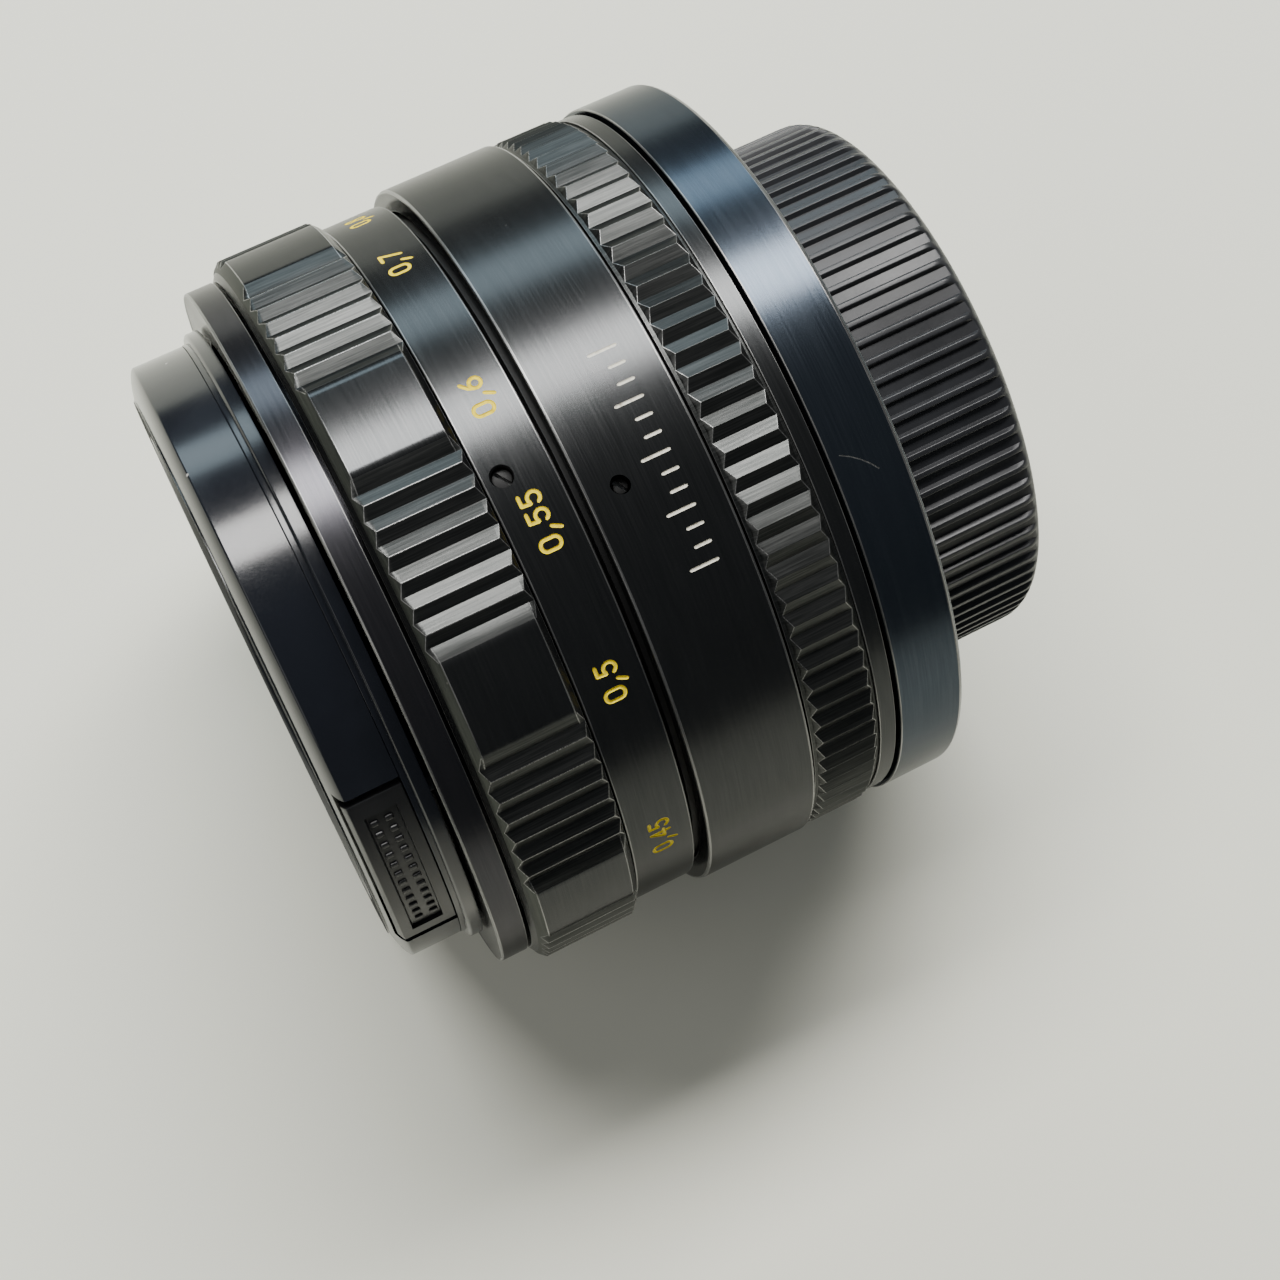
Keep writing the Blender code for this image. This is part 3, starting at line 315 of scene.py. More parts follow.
def moulded_plastic(name, colour, light, roughness, pits=0.15, dust=0.36, **constants):
    """Moulded plastic with a faint skin, finger marks and dust."""
    surface = Surface(name, **constants)
    skin = surface.noise(surface.place, 5200.0, 3.0)
    smudge = surface.noise(surface.place, 90.0, 4.0, 0.6)
    shade = surface.mix(surface.ramp(smudge, 0.4, 0.75), colour, light)
    surface.colour(surface.mix(surface.dust(dust), shade, (0.35, 0.34, 0.32)))
    surface.roughness(surface.math("ADD", surface.ramp(skin, 0.3, 0.7, -0.02, 0.02),
                                   surface.ramp(smudge, 0.3, 0.75, roughness, roughness * 1.5)))
    surface.bump(skin, pits, 0.01)
    return surface.material


def engraving_paint(name, colour, dark):
    """Enamel rubbed into an engraving: uneven, with a little dirt."""
    surface = Surface(name, Specular_IOR_Level=0.25)
    uneven = surface.noise(surface.place, 2600.0, 3.0)
    surface.colour(surface.mix(surface.ramp(uneven, 0.5, 0.85), colour, dark))
    surface.roughness(surface.ramp(uneven, 0.3, 0.7, 0.5, 0.7))
    surface.bump(uneven, 0.4, 0.02)
    return surface.material


def coated_glass(name, colour, coat):
    """Optical glass with a tinted anti-reflection coating and a trace of dust."""
    surface = Surface(name, Transmission_Weight=1.0, IOR=1.62, Coat_Weight=0.35, Coat_IOR=1.9,
                      Coat_Tint=(*coat, 1.0))
    haze = surface.noise(surface.place, 400.0, 4.0)
    surface.colour(surface.mix(surface.ramp(haze, 0.5, 0.9), colour, (0.9, 0.9, 0.9)))
    surface.roughness(surface.ramp(haze, 0.55, 0.9, 0.01, 0.05))
    surface.bump(haze, 0.02, 0.01)
    return surface.material


def make_looks():
    black = {"Metallic": 0.9, "IOR": 1.45, "Specular_Tint": (0.6, 0.6, 0.6, 1.0)}
    looks = {
        "anodised": brushed_metal("anodised", (0.04, 0.042, 0.043), (0.058, 0.059, 0.06), 0.22, **black),
        "cut": brushed_metal("machined_grooves", (0.032, 0.034, 0.033), (0.075, 0.076, 0.074), 0.33,
                             0.3, 0.9, (260.0, 180.0), **black),
        "rear": brushed_metal("anodised_blue", (0.04, 0.05, 0.064), (0.058, 0.07, 0.086), 0.2, **black),
        "rim": brushed_metal("anodised_rim", (0.043, 0.043, 0.048), (0.062, 0.06, 0.066), 0.22, **black),
        "chamfer": brushed_metal("worn_chamfer", (0.048, 0.052, 0.048), (0.08, 0.085, 0.077), 0.4, **black),
        # The edge look is lighter than the anodising: partly rubbed bare metal, partly a painted highlight
        # along the rounded edges
        "edge": brushed_metal("rubbed_edge_and_highlight", (0.1, 0.1, 0.1), (0.3, 0.3, 0.29), 0.28, Metallic=0.8),
        "trim": brushed_metal("matt_trim", (0.012, 0.012, 0.013), (0.024, 0.024, 0.025), 0.45, 0.3, 0.6),
        "inside": brushed_metal("blackened", (0.003, 0.003, 0.003), (0.007, 0.007, 0.007), 0.6, 0.3, 0.6),
        "bare": brushed_metal("machined", (0.58, 0.58, 0.6), (0.7, 0.7, 0.71), 0.3, 0.2, Metallic=1.0),
        "steel": brushed_metal("steel", (0.42, 0.42, 0.44), (0.58, 0.58, 0.6), 0.28, 0.2, Metallic=1.0),
        "brass": brushed_metal("brass", (0.5, 0.34, 0.11), (0.66, 0.47, 0.18), 0.32, 0.2, Metallic=1.0),
        "cap_gloss": moulded_plastic("glossy_plastic", (0.006, 0.007, 0.01), (0.01, 0.0118, 0.0165), 0.14),
        "cap_satin": moulded_plastic("satin_plastic", (0.004, 0.004, 0.0046), (0.008, 0.008, 0.0095),
                                     0.3, 0.4),
        "cap_face": moulded_plastic("matt_plastic", (0.006, 0.006, 0.0066), (0.01, 0.01, 0.012), 0.5, 0.4,
                                    Specular_IOR_Level=0.05),
        "cap_rear": moulded_plastic("rear_cap_plastic", (0.012, 0.0126, 0.0145), (0.024, 0.025, 0.029),
                                    0.34, 0.2, 0.3),
        "yellow": engraving_paint("yellow_enamel", (0.8, 0.62, 0.01), (0.5, 0.34, 0.006)),
        "white": engraving_paint("white_enamel", (0.75, 0.72, 0.62), (0.3, 0.26, 0.18)),
        "glass": coated_glass("coated_glass", (0.86, 0.85, 0.95), (0.8, 0.6, 0.95)),
    }
    return looks


LOOKS = make_looks()


# ---------------------------------------------------------------- meshes

def new_piece(name, shape, look, body=None):
    """Turns a bmesh into a smooth-shaded object whose faces point out."""
    bmesh.ops.recalc_face_normals(shape, faces=shape.faces)
    if shape.calc_volume(signed=True) < 0:
        bmesh.ops.reverse_faces(shape, faces=shape.faces)
    mesh = bpy.data.meshes.new(name)
    shape.to_mesh(mesh)
    shape.free()
    mesh.shade_smooth()
    mesh.materials.append(LOOKS[look])
    obj = bpy.data.objects.new(name, mesh)
    bpy.context.scene.collection.objects.link(obj)
    if body:
        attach(obj, body)
    return obj


def apply_modifiers(obj):
    bpy.context.view_layer.update()
    evaluated = obj.evaluated_get(bpy.context.evaluated_depsgraph_get())
    mesh = bpy.data.meshes.new_from_object(evaluated)
    obj.modifiers.clear()
    obj.data = mesh


def soften(obj, width, edge_look=None, angle=28.0, segments=2):
    """Rounds the piece's outer edges, which may have a look of their own: the lighter edge look paints
    rubbed metal and a painted highlight along them.
    """
    shape = bmesh.new()
    shape.from_mesh(obj.data)
    weight = shape.edges.layers.float.new("bevel_weight_edge")
    for edge in shape.edges:
        if edge.is_manifold and edge.is_convex and edge.calc_face_angle() > math.radians(angle):
            edge[weight] = 1.0
    shape.to_mesh(obj.data)
    shape.free()
    modifier = obj.modifiers.new("rounded_edges", "BEVEL")
    modifier.width = width * MM
    modifier.segments = segments
    modifier.limit_method = "WEIGHT"
    if edge_look:
        obj.data.materials.append(LOOKS[edge_look])
        modifier.material = len(obj.data.materials) - 1
    apply_modifiers(obj)


def cut(obj, tool, crossing=False):
    """Cuts the tool out of the piece. The cut faces take the tool's look."""
    modifier = obj.modifiers.new("cut", "BOOLEAN")
    modifier.operation = "DIFFERENCE"
    modifier.solver = "EXACT"
    modifier.material_mode = "TRANSFER"
    modifier.use_self = crossing
    modifier.object = tool
    apply_modifiers(obj)
    bpy.data.objects.remove(tool, do_unlink=True)


def even_shading(obj, sharp=38.0):
    """Keeps large faces flat or evenly round beside their small rounded edges."""
    obj.data.shade_smooth()
    obj.data.set_sharp_from_angle(angle=math.radians(sharp))
    modifier = obj.modifiers.new("even_shading", "WEIGHTED_NORMAL")
    modifier.keep_sharp = True
    modifier.weight = 50


def turned_mesh(profile, outline=None, segments=FINE):
    """A bmesh turned about the optical axis. The profile lists (radius, station) from loop to
    loop, and the outline (angle, radius) limits each loop. Radius 0 closes the piece with a pole,
    and any other profile is a ring whose last loop joins its first."""
    shape = bmesh.new()
    if outline is None:
        outline = [(360.0 * index / segments, math.inf) for index in range(segments)]
    count = len(outline)
    loops = []
    for radius, station in profile:
        if radius == 0:
            loops.append([shape.verts.new(point(0.0, 0.0, station))])
        else:
            loops.append([shape.verts.new(point(min(radius, limit), angle, station))
                          for angle, limit in outline])
    pairs = list(zip(loops, loops[1:]))
    if len(loops[0]) > 1:
        pairs.append((loops[-1], loops[0]))
    for near, far in pairs:
        for index in range(count):
            after = (index + 1) % count
            if len(near) == 1:
                shape.faces.new((near[0], far[after], far[index]))
            elif len(far) == 1:
                shape.faces.new((near[index], near[after], far[0]))
            else:
                add_patch(shape, (near[index], near[after], far[after], far[index]))
    return shape


def add_patch(shape, corners):
    """A quad. If its corners don't lie in one plane, two triangles whose fold stands proud, so that
    a groove's flanks run out through a cone in points."""
    reach = [math.hypot(corner.co.x, corner.co.z - AXIS_HEIGHT) for corner in corners]
    if abs(reach[0] - reach[1] + reach[2] - reach[3]) < 0.01 * MM:
        shape.faces.new(corners)
        return
    top = reach.index(max(reach))
    one, two, three, four = corners[top:] + corners[:top]
    shape.faces.new((one, two, three))
    shape.faces.new((one, three, four))


def turned(name, body, nodes, profile, look, bevel=0.1, edge=None, outline=None, segments=FINE):
    """A turned piece with rounded edges that stands for some CAD nodes."""
    piece = new_piece(name, turned_mesh(profile, outline, segments), look, body)
    if bevel:
        soften(piece, bevel, edge)
    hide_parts(*nodes)
    return piece


def box_shape(shape, low, high, place):
    made = bmesh.ops.create_cube(shape, size=1.0)["verts"]
    middle = (Vector(low) + Vector(high)) / 2
    size = Vector(high) - Vector(low)
    for vert in made:
        local = Vector([vert.co[i] * size[i] + middle[i] for i in range(3)])
        vert.co = place @ (local * MM)


def rod_shape(shape, radius, start, end, sides=32, end_radius=None):
    along = end - start
    turn = along.to_track_quat("Z", "Y").to_matrix().to_4x4()
    far_radius = radius if end_radius is None else end_radius
    bmesh.ops.create_cone(shape, cap_ends=True, segments=sides, radius1=radius * MM,
                          radius2=far_radius * MM, depth=along.length,
                          matrix=Matrix.Translation((start + end) / 2) @ turn)


# ---------------------------------------------------------------- engraved numerals

def bow(x, y, across, up, start, end, steps=12):
    """Points on part of an oval, in glyph units, where a numeral is 1 high."""
    turns = [math.radians(start + (end - start) * step / steps) for step in range(steps + 1)]
    return [(x + across * math.cos(turn), y + up * math.sin(turn)) for turn in turns]


GLYPHS = {
    "0": [bow(0.27, 0.73, 0.27, 0.27, 0, 180) + bow(0.27, 0.27, 0.27, 0.27, 180, 360) + [(0.54, 0.73)]],
    "1": [[(0.1, 0.78), (0.32, 1.0)], [(0.32, 1.0), (0.32, 0.0)]],
    "2": [bow(0.27, 0.73, 0.26, 0.27, 170, -35) + [(0.02, 0.02)], [(0.02, 0.0), (0.54, 0.0)]],
    "3": [bow(0.26, 0.75, 0.24, 0.25, 160, -80), bow(0.26, 0.26, 0.28, 0.26, 85, -160)],
    "4": [[(0.4, 0.0), (0.4, 1.0)], [(0.4, 1.0), (0.0, 0.3)], [(0.0, 0.3), (0.56, 0.3)]],
    "5": [[(0.5, 1.0), (0.08, 1.0)], [(0.08, 1.0), (0.04, 0.56)], bow(0.26, 0.31, 0.28, 0.31, 128, -148)],
    "6": [bow(0.27, 0.29, 0.27, 0.29, 0, 360), [(0.02, 0.4), (0.12, 0.7), (0.42, 1.0)]],
    "7": [[(0.0, 1.0), (0.54, 1.0)], [(0.54, 1.0), (0.18, 0.0)]],
    "8": [bow(0.27, 0.76, 0.22, 0.24, 0, 360), bow(0.27, 0.27, 0.27, 0.27, 0, 360)],
    "9": [bow(0.27, 0.71, 0.27, 0.29, 0, 360), [(0.52, 0.6), (0.42, 0.3), (0.12, 0.0)]],
    ",": [[(0.14, 0.1), (-0.06, -0.3)]],
    "8-": [bow(0.3, 0.5, 0.3, 0.26, 30, 330), bow(0.86, 0.5, 0.3, 0.26, 210, 510)],
}
GLYPH_ADVANCE = {",": 0.52, "8-": 1.4}
GLYPH_WIDTH = 0.57
PLAIN_ADVANCE = 0.89


def text_strokes(text, height):
    """The strokes of a row of numerals in millimetres, centred, with the baseline at 0."""
    strokes = []
    cursor = 0.0
    symbols = [text] if text in GLYPHS else list(text)
    for symbol in symbols:
        narrow = 1.0 if symbol in GLYPH_ADVANCE else GLYPH_WIDTH / 0.54
        strokes += [[(cursor + x * narrow, y) for x, y in stroke] for stroke in GLYPHS[symbol]]
        cursor += GLYPH_ADVANCE.get(symbol, PLAIN_ADVANCE)
    width = cursor - (PLAIN_ADVANCE - GLYPH_WIDTH)
    return [[((x - width / 2) * height, y * height) for x, y in stroke] for stroke in strokes]


def groove_shape(shape, stroke, angle, base, surface, half_width):
    """Adds a round-ended bar along a stroke, sunk into a ring's surface. The stroke reads towards
    greater angles with its top to the front."""
    tool_radius = half_width * 1.25
    lift = math.sqrt(tool_radius ** 2 - half_width ** 2)
    sides = 8
    centres = []
    for across, up in stroke:
        turn = angle + math.degrees(across / surface)
        centres.append((point(surface + lift, turn, base - up), outward(turn)))
    rings = []
    for index, (centre, out) in enumerate(centres):
        before = centres[max(index - 1, 0)][0]
        after = centres[min(index + 1, len(centres) - 1)][0]
        along = (after - before).normalized()
        beside = along.cross(out).normalized()
        ends = [(0.0, 1.0)]
        if index == 0:
            ends = [(-0.71, 0.71), (0.0, 1.0)]
        if index == len(centres) - 1:
            ends = [(0.0, 1.0), (0.71, 0.71)]
        for shift, share in ends:
            ring = []
            for side in range(sides):
                roll = 2 * math.pi * (side + 0.5) / sides
                offset = beside * math.cos(roll) + out * math.sin(roll)
                ring.append(shape.verts.new(centre + (along * shift + offset * share) * tool_radius * MM))
            rings.append(ring)
    for near, far in zip(rings, rings[1:]):
        for side in range(sides):
            after = (side + 1) % sides
            shape.faces.new((near[side], near[after], far[after], far[side]))
    shape.faces.new(rings[0][::-1])
    shape.faces.new(rings[-1])


def engrave(ring, surface, look, marks, half_width=0.17):
    """Engraves marks into a ring and fills them with paint. Each mark is (strokes, angle, base)."""
    shape = bmesh.new()
    for strokes, angle, base in marks:
        for stroke in strokes:
            groove_shape(shape, stroke, angle, base, surface, half_width)
    tool = new_piece(f"{ring.name}_engraving", shape, look)
    cut(ring, tool, crossing=True)


def distance_angle(metres):
    """Where a distance is engraved: the lens formula gives the extension, the lead the angle."""
    spare = metres * 1000.0 - 2 * FOCAL
    extension = (spare - math.sqrt(spare * spare - 4 * FOCAL * FOCAL)) / 2
    return INDEX_ANGLE - DEGREES_PER_MM * extension


# ---------------------------------------------------------------- outlines

def grip_outline(land_radius):
    """Plain lands with full V grooves between them, as (angle, radius)."""
    period = 360.0 / GRIP_LANDS
    first = (period - GRIP_LAND_SPAN - (GRIP_GROOVES - 1) * GRIP_GROOVE_PITCH) / 2
    land_steps = 12
    outline = []
    for land in range(GRIP_LANDS):
        start = GRIP_PHASE + land * period - GRIP_LAND_SPAN / 2
        for step in range(land_steps + 1):
            outline.append((start + GRIP_LAND_SPAN * step / land_steps, land_radius))
        for index in range(GRIP_GROOVES):
            bottom = start + GRIP_LAND_SPAN + first + index * GRIP_GROOVE_PITCH
            outline.append((bottom, land_radius - GRIP_GROOVE_DEPTH))
            if index < GRIP_GROOVES - 1:
                outline.append((bottom + GRIP_GROOVE_PITCH / 2, land_radius - GRIP_CREST_DROP))
    return outline


def rib_outline(count, crest, depth, crest_share, floor_share=0.0, phase=0.0):
    """Ribs with flat crests, and grooves with a V or a flat floor, as (angle, radius). The phase
    is the middle of the first crest."""
    pitch = 360.0 / count
    flank = pitch * (1 - crest_share - floor_share) / 2
    outline = []
    for index in range(count):
        start = phase + (index - crest_share / 2) * pitch
        crest_end = start + pitch * crest_share
        outline += [(start, crest), (crest_end, crest), (crest_end + flank, crest - depth)]
        if floor_share:
            outline.append((crest_end + flank + pitch * floor_share, crest - depth))
    return outline


# ---------------------------------------------------------------- front cap

def make_front_cap():
    radius = ring_size("front_cap_cover")[2]
    dish = CAP_DISH_DEPTH
    profile = [(0, dish), (12.0, dish), (12.2, dish + 0.15), (12.6, dish + 0.15), (12.8, dish),
               (CAP_DISH_RADIUS - 0.35, dish), (CAP_DISH_RADIUS, 0.0)]
    profile += CAP_BEVEL + [(radius, CAP_SIDE_FRONT)]
    profile += [(radius, CAP_REAR), (radius - CAP_WALL, CAP_REAR), (radius - CAP_WALL, CAP_INSIDE_FRONT),
                (CAP_BOSS_RADIUS, CAP_INSIDE_FRONT), (CAP_BOSS_RADIUS, CAP_BOSS_REAR), (0, CAP_BOSS_REAR)]
    cover = turned("cap_cover", "front_cap", ["front_cap_cover"], profile, "cap_gloss", 0.04)
    windows = bmesh.new()
    half = (radius + 1.0) * math.sin(math.radians(CAP_WINDOW_HALF_ANGLE))
    for angle in LEVER_ANGLES.values():
        box_shape(windows, (-half, dish, CAP_WINDOW_FLOOR), (half, CAP_REAR + 1.0, 30.0),
                  polar_place(angle, 0.0))
    cut(cover, new_piece("cap_windows", windows, "cap_gloss"))
    cover.data.materials.append(LOOKS["cap_face"])
    paint_faces(cover, len(cover.data.materials) - 1,
                lambda face: station_of(face.center) < 0.6 and face.normal.y < -0.99)
    even_shading(cover)
    make_cap_plate()
    for side, angle in LEVER_ANGLES.items():
        make_lever(side, angle)


def make_cap_plate():
    """The plate behind the cover, with a neck that reaches to it and slots for the hooks."""
    front, rear, radius = ring_size("front_cap_plate")
    neck = radius - 0.7
    neck_front = CAP_REAR + 0.03
    plate = turned("cap_plate", "front_cap", ["front_cap_plate"], [
        (0, neck_front), (neck, neck_front), (neck, front), (radius - 0.25, front),
        (radius, front + 0.2), (radius, rear + 0.1), (0, rear + 0.1)], "cap_gloss", 0.05)
    slots = bmesh.new()
    for angle in LEVER_ANGLES.values():
        box_shape(slots, (-4.6, 4.0, 18.8), (4.6, 8.0, 23.6), polar_place(angle, 0.0))
    cut(plate, new_piece("cap_slots", slots, "cap_satin"))
    even_shading(plate)


def swept_shape(corners, angle, half, steps=24):
    """A closed bar with the same section (radius, station) over a part of a turn."""
    shape = bmesh.new()
    sections = []
    for index in range(steps + 1):
        turn = angle + half * (2 * index / steps - 1)
        sections.append([shape.verts.new(point(reach, turn, station)) for reach, station in corners])
    for near, far in zip(sections, sections[1:]):
        for corner in range(len(near)):
            after = (corner + 1) % len(near)
            shape.faces.new((near[corner], near[after], far[after], far[corner]))
    shape.faces.new(sections[0])
    shape.faces.new(sections[-1])
    return shape


def make_lever(side, angle):
    """A finger pad with a recessed panel of small ribs, its stem and its hook."""
    node = f"cap_lever_{side}"
    pad = swept_shape([
        (LEVER_INNER_RADIUS, LEVER_FRONT), (LEVER_RADIUS - 0.7, LEVER_FRONT),
        (LEVER_RADIUS - 0.02, LEVER_FRONT + 0.28), (LEVER_RADIUS, LEVER_FRONT + 0.35),
        (LEVER_RADIUS, LEVER_REAR), (LEVER_INNER_RADIUS, LEVER_REAR)], angle, LEVER_HALF_ANGLE)
    lever = new_piece(f"cap_pad_{side}", pad, "cap_satin", node)
    soften(lever, 0.12, None, 40.0)
    floor = LEVER_RADIUS - LEVER_PANEL_DEPTH
    outside = LEVER_RADIUS + 1
    panel = swept_shape([(floor, 1.9), (outside, 1.2), (outside, 4.6), (floor, 4.3)], angle,
                        LEVER_PANEL_HALF_ANGLE)
    cut(lever, new_piece("panel", panel, "cap_satin"))
    even_shading(lever)
    make_lever_ribs(side, angle, floor)
    arms = bmesh.new()
    place = polar_place(angle, 0.0)
    box_shape(arms, (-4.0, 2.1, 12.0), (4.0, 4.9, 24.8), place)
    box_shape(arms, (-3.8, 4.95, 21.4), (3.8, 8.6, 23.0), place)
    box_shape(arms, (-3.8, 7.4, 23.05), (3.8, 8.6, 25.6), place)
    stem = new_piece(f"cap_stem_{side}", arms, "cap_satin", node)
    soften(stem, 0.2)
    even_shading(stem)
    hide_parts(node)


def make_lever_ribs(side, angle, floor):
    """Two columns of small raised ribs on the pad's sunken floor."""
    half_width = 0.25
    half_length = 0.34
    shape = bmesh.new()
    for row in range(LEVER_RIB_ROWS):
        down = row - (LEVER_RIB_ROWS - 1) / 2
        place = polar_place(angle + 0.3 - down * LEVER_RIB_PITCH, 0.0)
        for station in (2.46 + 0.024 * down, 3.67 + 0.03 * down):
            box_shape(shape, (-half_width, station - half_length, floor - 0.1),
                      (half_width, station + half_length, floor + 0.17), place)
    ribs = new_piece(f"cap_pad_ribs_{side}", shape, "cap_satin", f"cap_lever_{side}")
    soften(ribs, 0.16, None, 30.0, 3)


# ---------------------------------------------------------------- outer rings

def thread_profile(bore, front, rear, pitch, depth):
    """A filter thread's inside wall, as rings of V profile, from rear to front."""
    turns = int((rear - front) / pitch)
    points = [(bore, rear)]
    for index in range(turns):
        root = rear - (index + 0.5) * pitch
        points += [(bore + depth, root), (bore, root - pitch / 2)]
    return points


def make_filter_ring():
    front, rear, radius = ring_size("filter_ring")
    lip = radius - RIM_LIP
    profile = [(FILTER_BORE, FILTER_THREAD_REAR + 0.2)]
    profile += thread_profile(FILTER_BORE, FILTER_THREAD_FRONT, FILTER_THREAD_REAR, FILTER_PITCH,
                              FILTER_THREAD_DEPTH)
    profile += [(FILTER_BORE, 7.7), (FILTER_BORE + 0.4, 7.4), (lip, front + 0.05), (lip + 0.1, front),
                (radius - 0.1, front), (radius, front + 0.12), (radius, RIM_REAR),
                (RIM_SKIRT_RADIUS, RIM_REAR), (RIM_SKIRT_RADIUS, rear)]
    ring = turned("rim", "optical_block", ["filter_ring"], profile, "rim", 0.07, "edge")
    even_shading(ring)


def make_lock_rings():
    """The plain rings round the front and rear elements."""
    front, rear, radius = ring_size("name_ring")
    bore = bore_of("name_ring")
    turned("trim_ring", "optical_block", ["name_ring"], [
        (bore, rear - 1.5), (radius, front), (radius, front + 1.2), (bore, rear)], "trim", 0.12)
    front, rear, radius = ring_size("front_retainer")
    bore = bore_of("front_retainer")
    turned("front_lock_ring", "optical_block", ["front_retainer"], [
        (bore, front), (radius, front), (radius, rear), (bore + 1.4, rear), (bore, rear - 0.4)],
        "trim", 0.1)
    front, rear, radius = ring_size("rear_retainer")
    bore = bore_of("rear_retainer")
    turned("rear_lock_ring", "optical_block", ["rear_retainer"], [
        (bore, front), (radius, front), (radius, rear), (bore, rear)], "trim", 0.12)


def make_focus_grip():
    front, rear, radius = ring_size("focus_grip")
    root = radius - GRIP_GROOVE_DEPTH
    crest = radius - GRIP_CREST_DROP
    cone_front = front + GRIP_CONE_FRONT - root
    cone_rear = rear + GRIP_CONE_REAR + root
    profile = [(FOCUS_BORE, front), (GRIP_FACE_RADIUS, front),
               (GRIP_SHOULDER_RADIUS, front + GRIP_SHOULDER_STATION)]
    profile += [(reach, cone_front + reach) for reach in (root, crest, radius)]
    profile += [(reach, cone_rear - reach) for reach in (radius, crest, root)]
    profile += [(FOCUS_BORE, rear + 0.1)]
    grip = turned("grip", "focus_ring", ["focus_grip"], profile, "anodised", 0, None,
                  grip_outline(radius))
    grip.data.materials.append(LOOKS["chamfer"])
    grip.data.materials.append(LOOKS["cut"])
    paint_faces(grip, 1, lambda face: front + 0.2 < station_of(face.center) < front + 1.07
                and face.normal.y < -0.3)
    paint_faces(grip, 2, lambda face: abs(face.normal.y) < 0.1 and lean_of(face) > 10.0)
    soften(grip, 0.05, "edge", 30.0, 2)
    even_shading(grip)


def lean_of(face):
    """How far a face leans from facing straight out from the optical axis, in degrees."""
    out = Vector((face.center.x, 0.0, face.center.z - AXIS_HEIGHT))
    return math.degrees(out.angle(face.normal))


def station_of(place):
    return (place.y - FRONT_Y) / MM


def paint_faces(obj, index, chosen):
    for face in obj.data.polygons:
        if chosen(face):
            face.material_index = index


def drill(ring, angle, station, surface, radius):
    """A round hole with a broken edge, for a headless screw."""
    rim = bmesh.new()
    rod_shape(rim, radius - 0.02, point(surface - 0.08, angle, station),
              point(surface + 0.3, angle, station), 32, radius + 0.25)
    cut(ring, new_piece("broken_edge", rim, "anodised"), crossing=True)
    hole = bmesh.new()
    rod_shape(hole, radius, point(surface - 1.35, angle, station), point(surface + 0.5, angle, station))
    cut(ring, new_piece("hole", hole, "inside"), crossing=True)


def make_grub_screw(name, node, body, angle, station, radius, top):
    """A headless screw with a driver slot, in its hole."""
    shape = bmesh.new()
    rod_shape(shape, radius, point(top - 1.0, angle, station), point(top, angle, station))
    screw = new_piece(name, shape, "inside", body)
    soften(screw, 0.1)
    slot = bmesh.new()
    place = polar_place(angle, station) @ Matrix.Rotation(math.radians(35), 4, "Z")
    box_shape(slot, (-1.5, -0.14, top - 0.45), (1.5, 0.14, top + 1.0), place)
    # The slot's walls take the lighter edge look: bare metal with a painted highlight
    cut(screw, new_piece("slot", slot, "edge"))
    even_shading(screw)
    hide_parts(node)


def make_distance_ring():
    front, rear, radius = ring_size("distance_scale_ring")
    profile = [(FOCUS_BORE, front), (radius, front), (radius, rear), (FOCUS_BORE, rear)]
    ring = turned("distance_ring", "focus_ring", ["distance_scale_ring"], profile,
                  "anodised", 0.15, "edge", None, ENGRAVED)
    marks = [(text_strokes(text, NUMERAL_HEIGHT), distance_angle(float(text.replace(",", "."))),
              NUMERAL_BASE) for text in DISTANCES]
    marks.append((text_strokes("8-", NUMERAL_HEIGHT), INDEX_ANGLE, NUMERAL_BASE))
    engrave(ring, radius, "yellow", marks)
    angle, station, hole, screw, top = SCALE_SCREW
    drill(ring, angle, station, radius, hole)
    even_shading(ring)
    make_grub_screw("scale_screw", "scale_grub_screw", "focus_ring", angle, station, screw, top)


def make_fixed_ring():
    front, rear, radius = ring_size("fixed_ring")
    profile = [(FIXED_BORE, front), (radius, front), (radius, rear), (FIXED_BORE, rear)]
    ring = turned("fixed_barrel", "lens_body", ["fixed_ring"], profile, "anodised", 0.22,
                  "edge", None, ENGRAVED)
    index_line = [[(0.0, 0.0), (0.0, 3.4)]]
    marks = [(index_line, INDEX_ANGLE, front + 4.2)] + depth_marks(front) + graduation()
    engrave(ring, radius, "white", marks, 0.14)
    angle, station, hole, screw, top = FIXED_SCREW
    drill(ring, angle, station, radius, hole)
    even_shading(ring)
    make_grub_screw("fixed_screw", "fixed_grub_screw", "lens_body", angle, station, screw, top)


def depth_marks(front):
    """Depth-of-field lines and stop numbers on both sides of the index."""
    blur = 0.035
    marks = []
    for number in ("4", "8", "16"):
        spread = int(number) * blur * DEGREES_PER_MM
        for side in (-1, 1):
            angle = INDEX_ANGLE + side * spread
            marks.append(([[(0.0, 0.0), (0.0, 1.8)]], angle, front + 2.4))
            marks.append((text_strokes(number, 1.6), angle, front + 4.9))
    return marks


def graduation():
    """A plain row of ticks, every third one at full height."""
    marks = []
    for index in range(TICKS):
        height = (TICK_BASE - TICK_TOP) * (1.0 if index % 3 == 0 else 0.55)
        marks.append(([[(0.0, 0.0), (0.0, height)]], TICK_FIRST + index * TICK_STEP, TICK_BASE))
    return marks


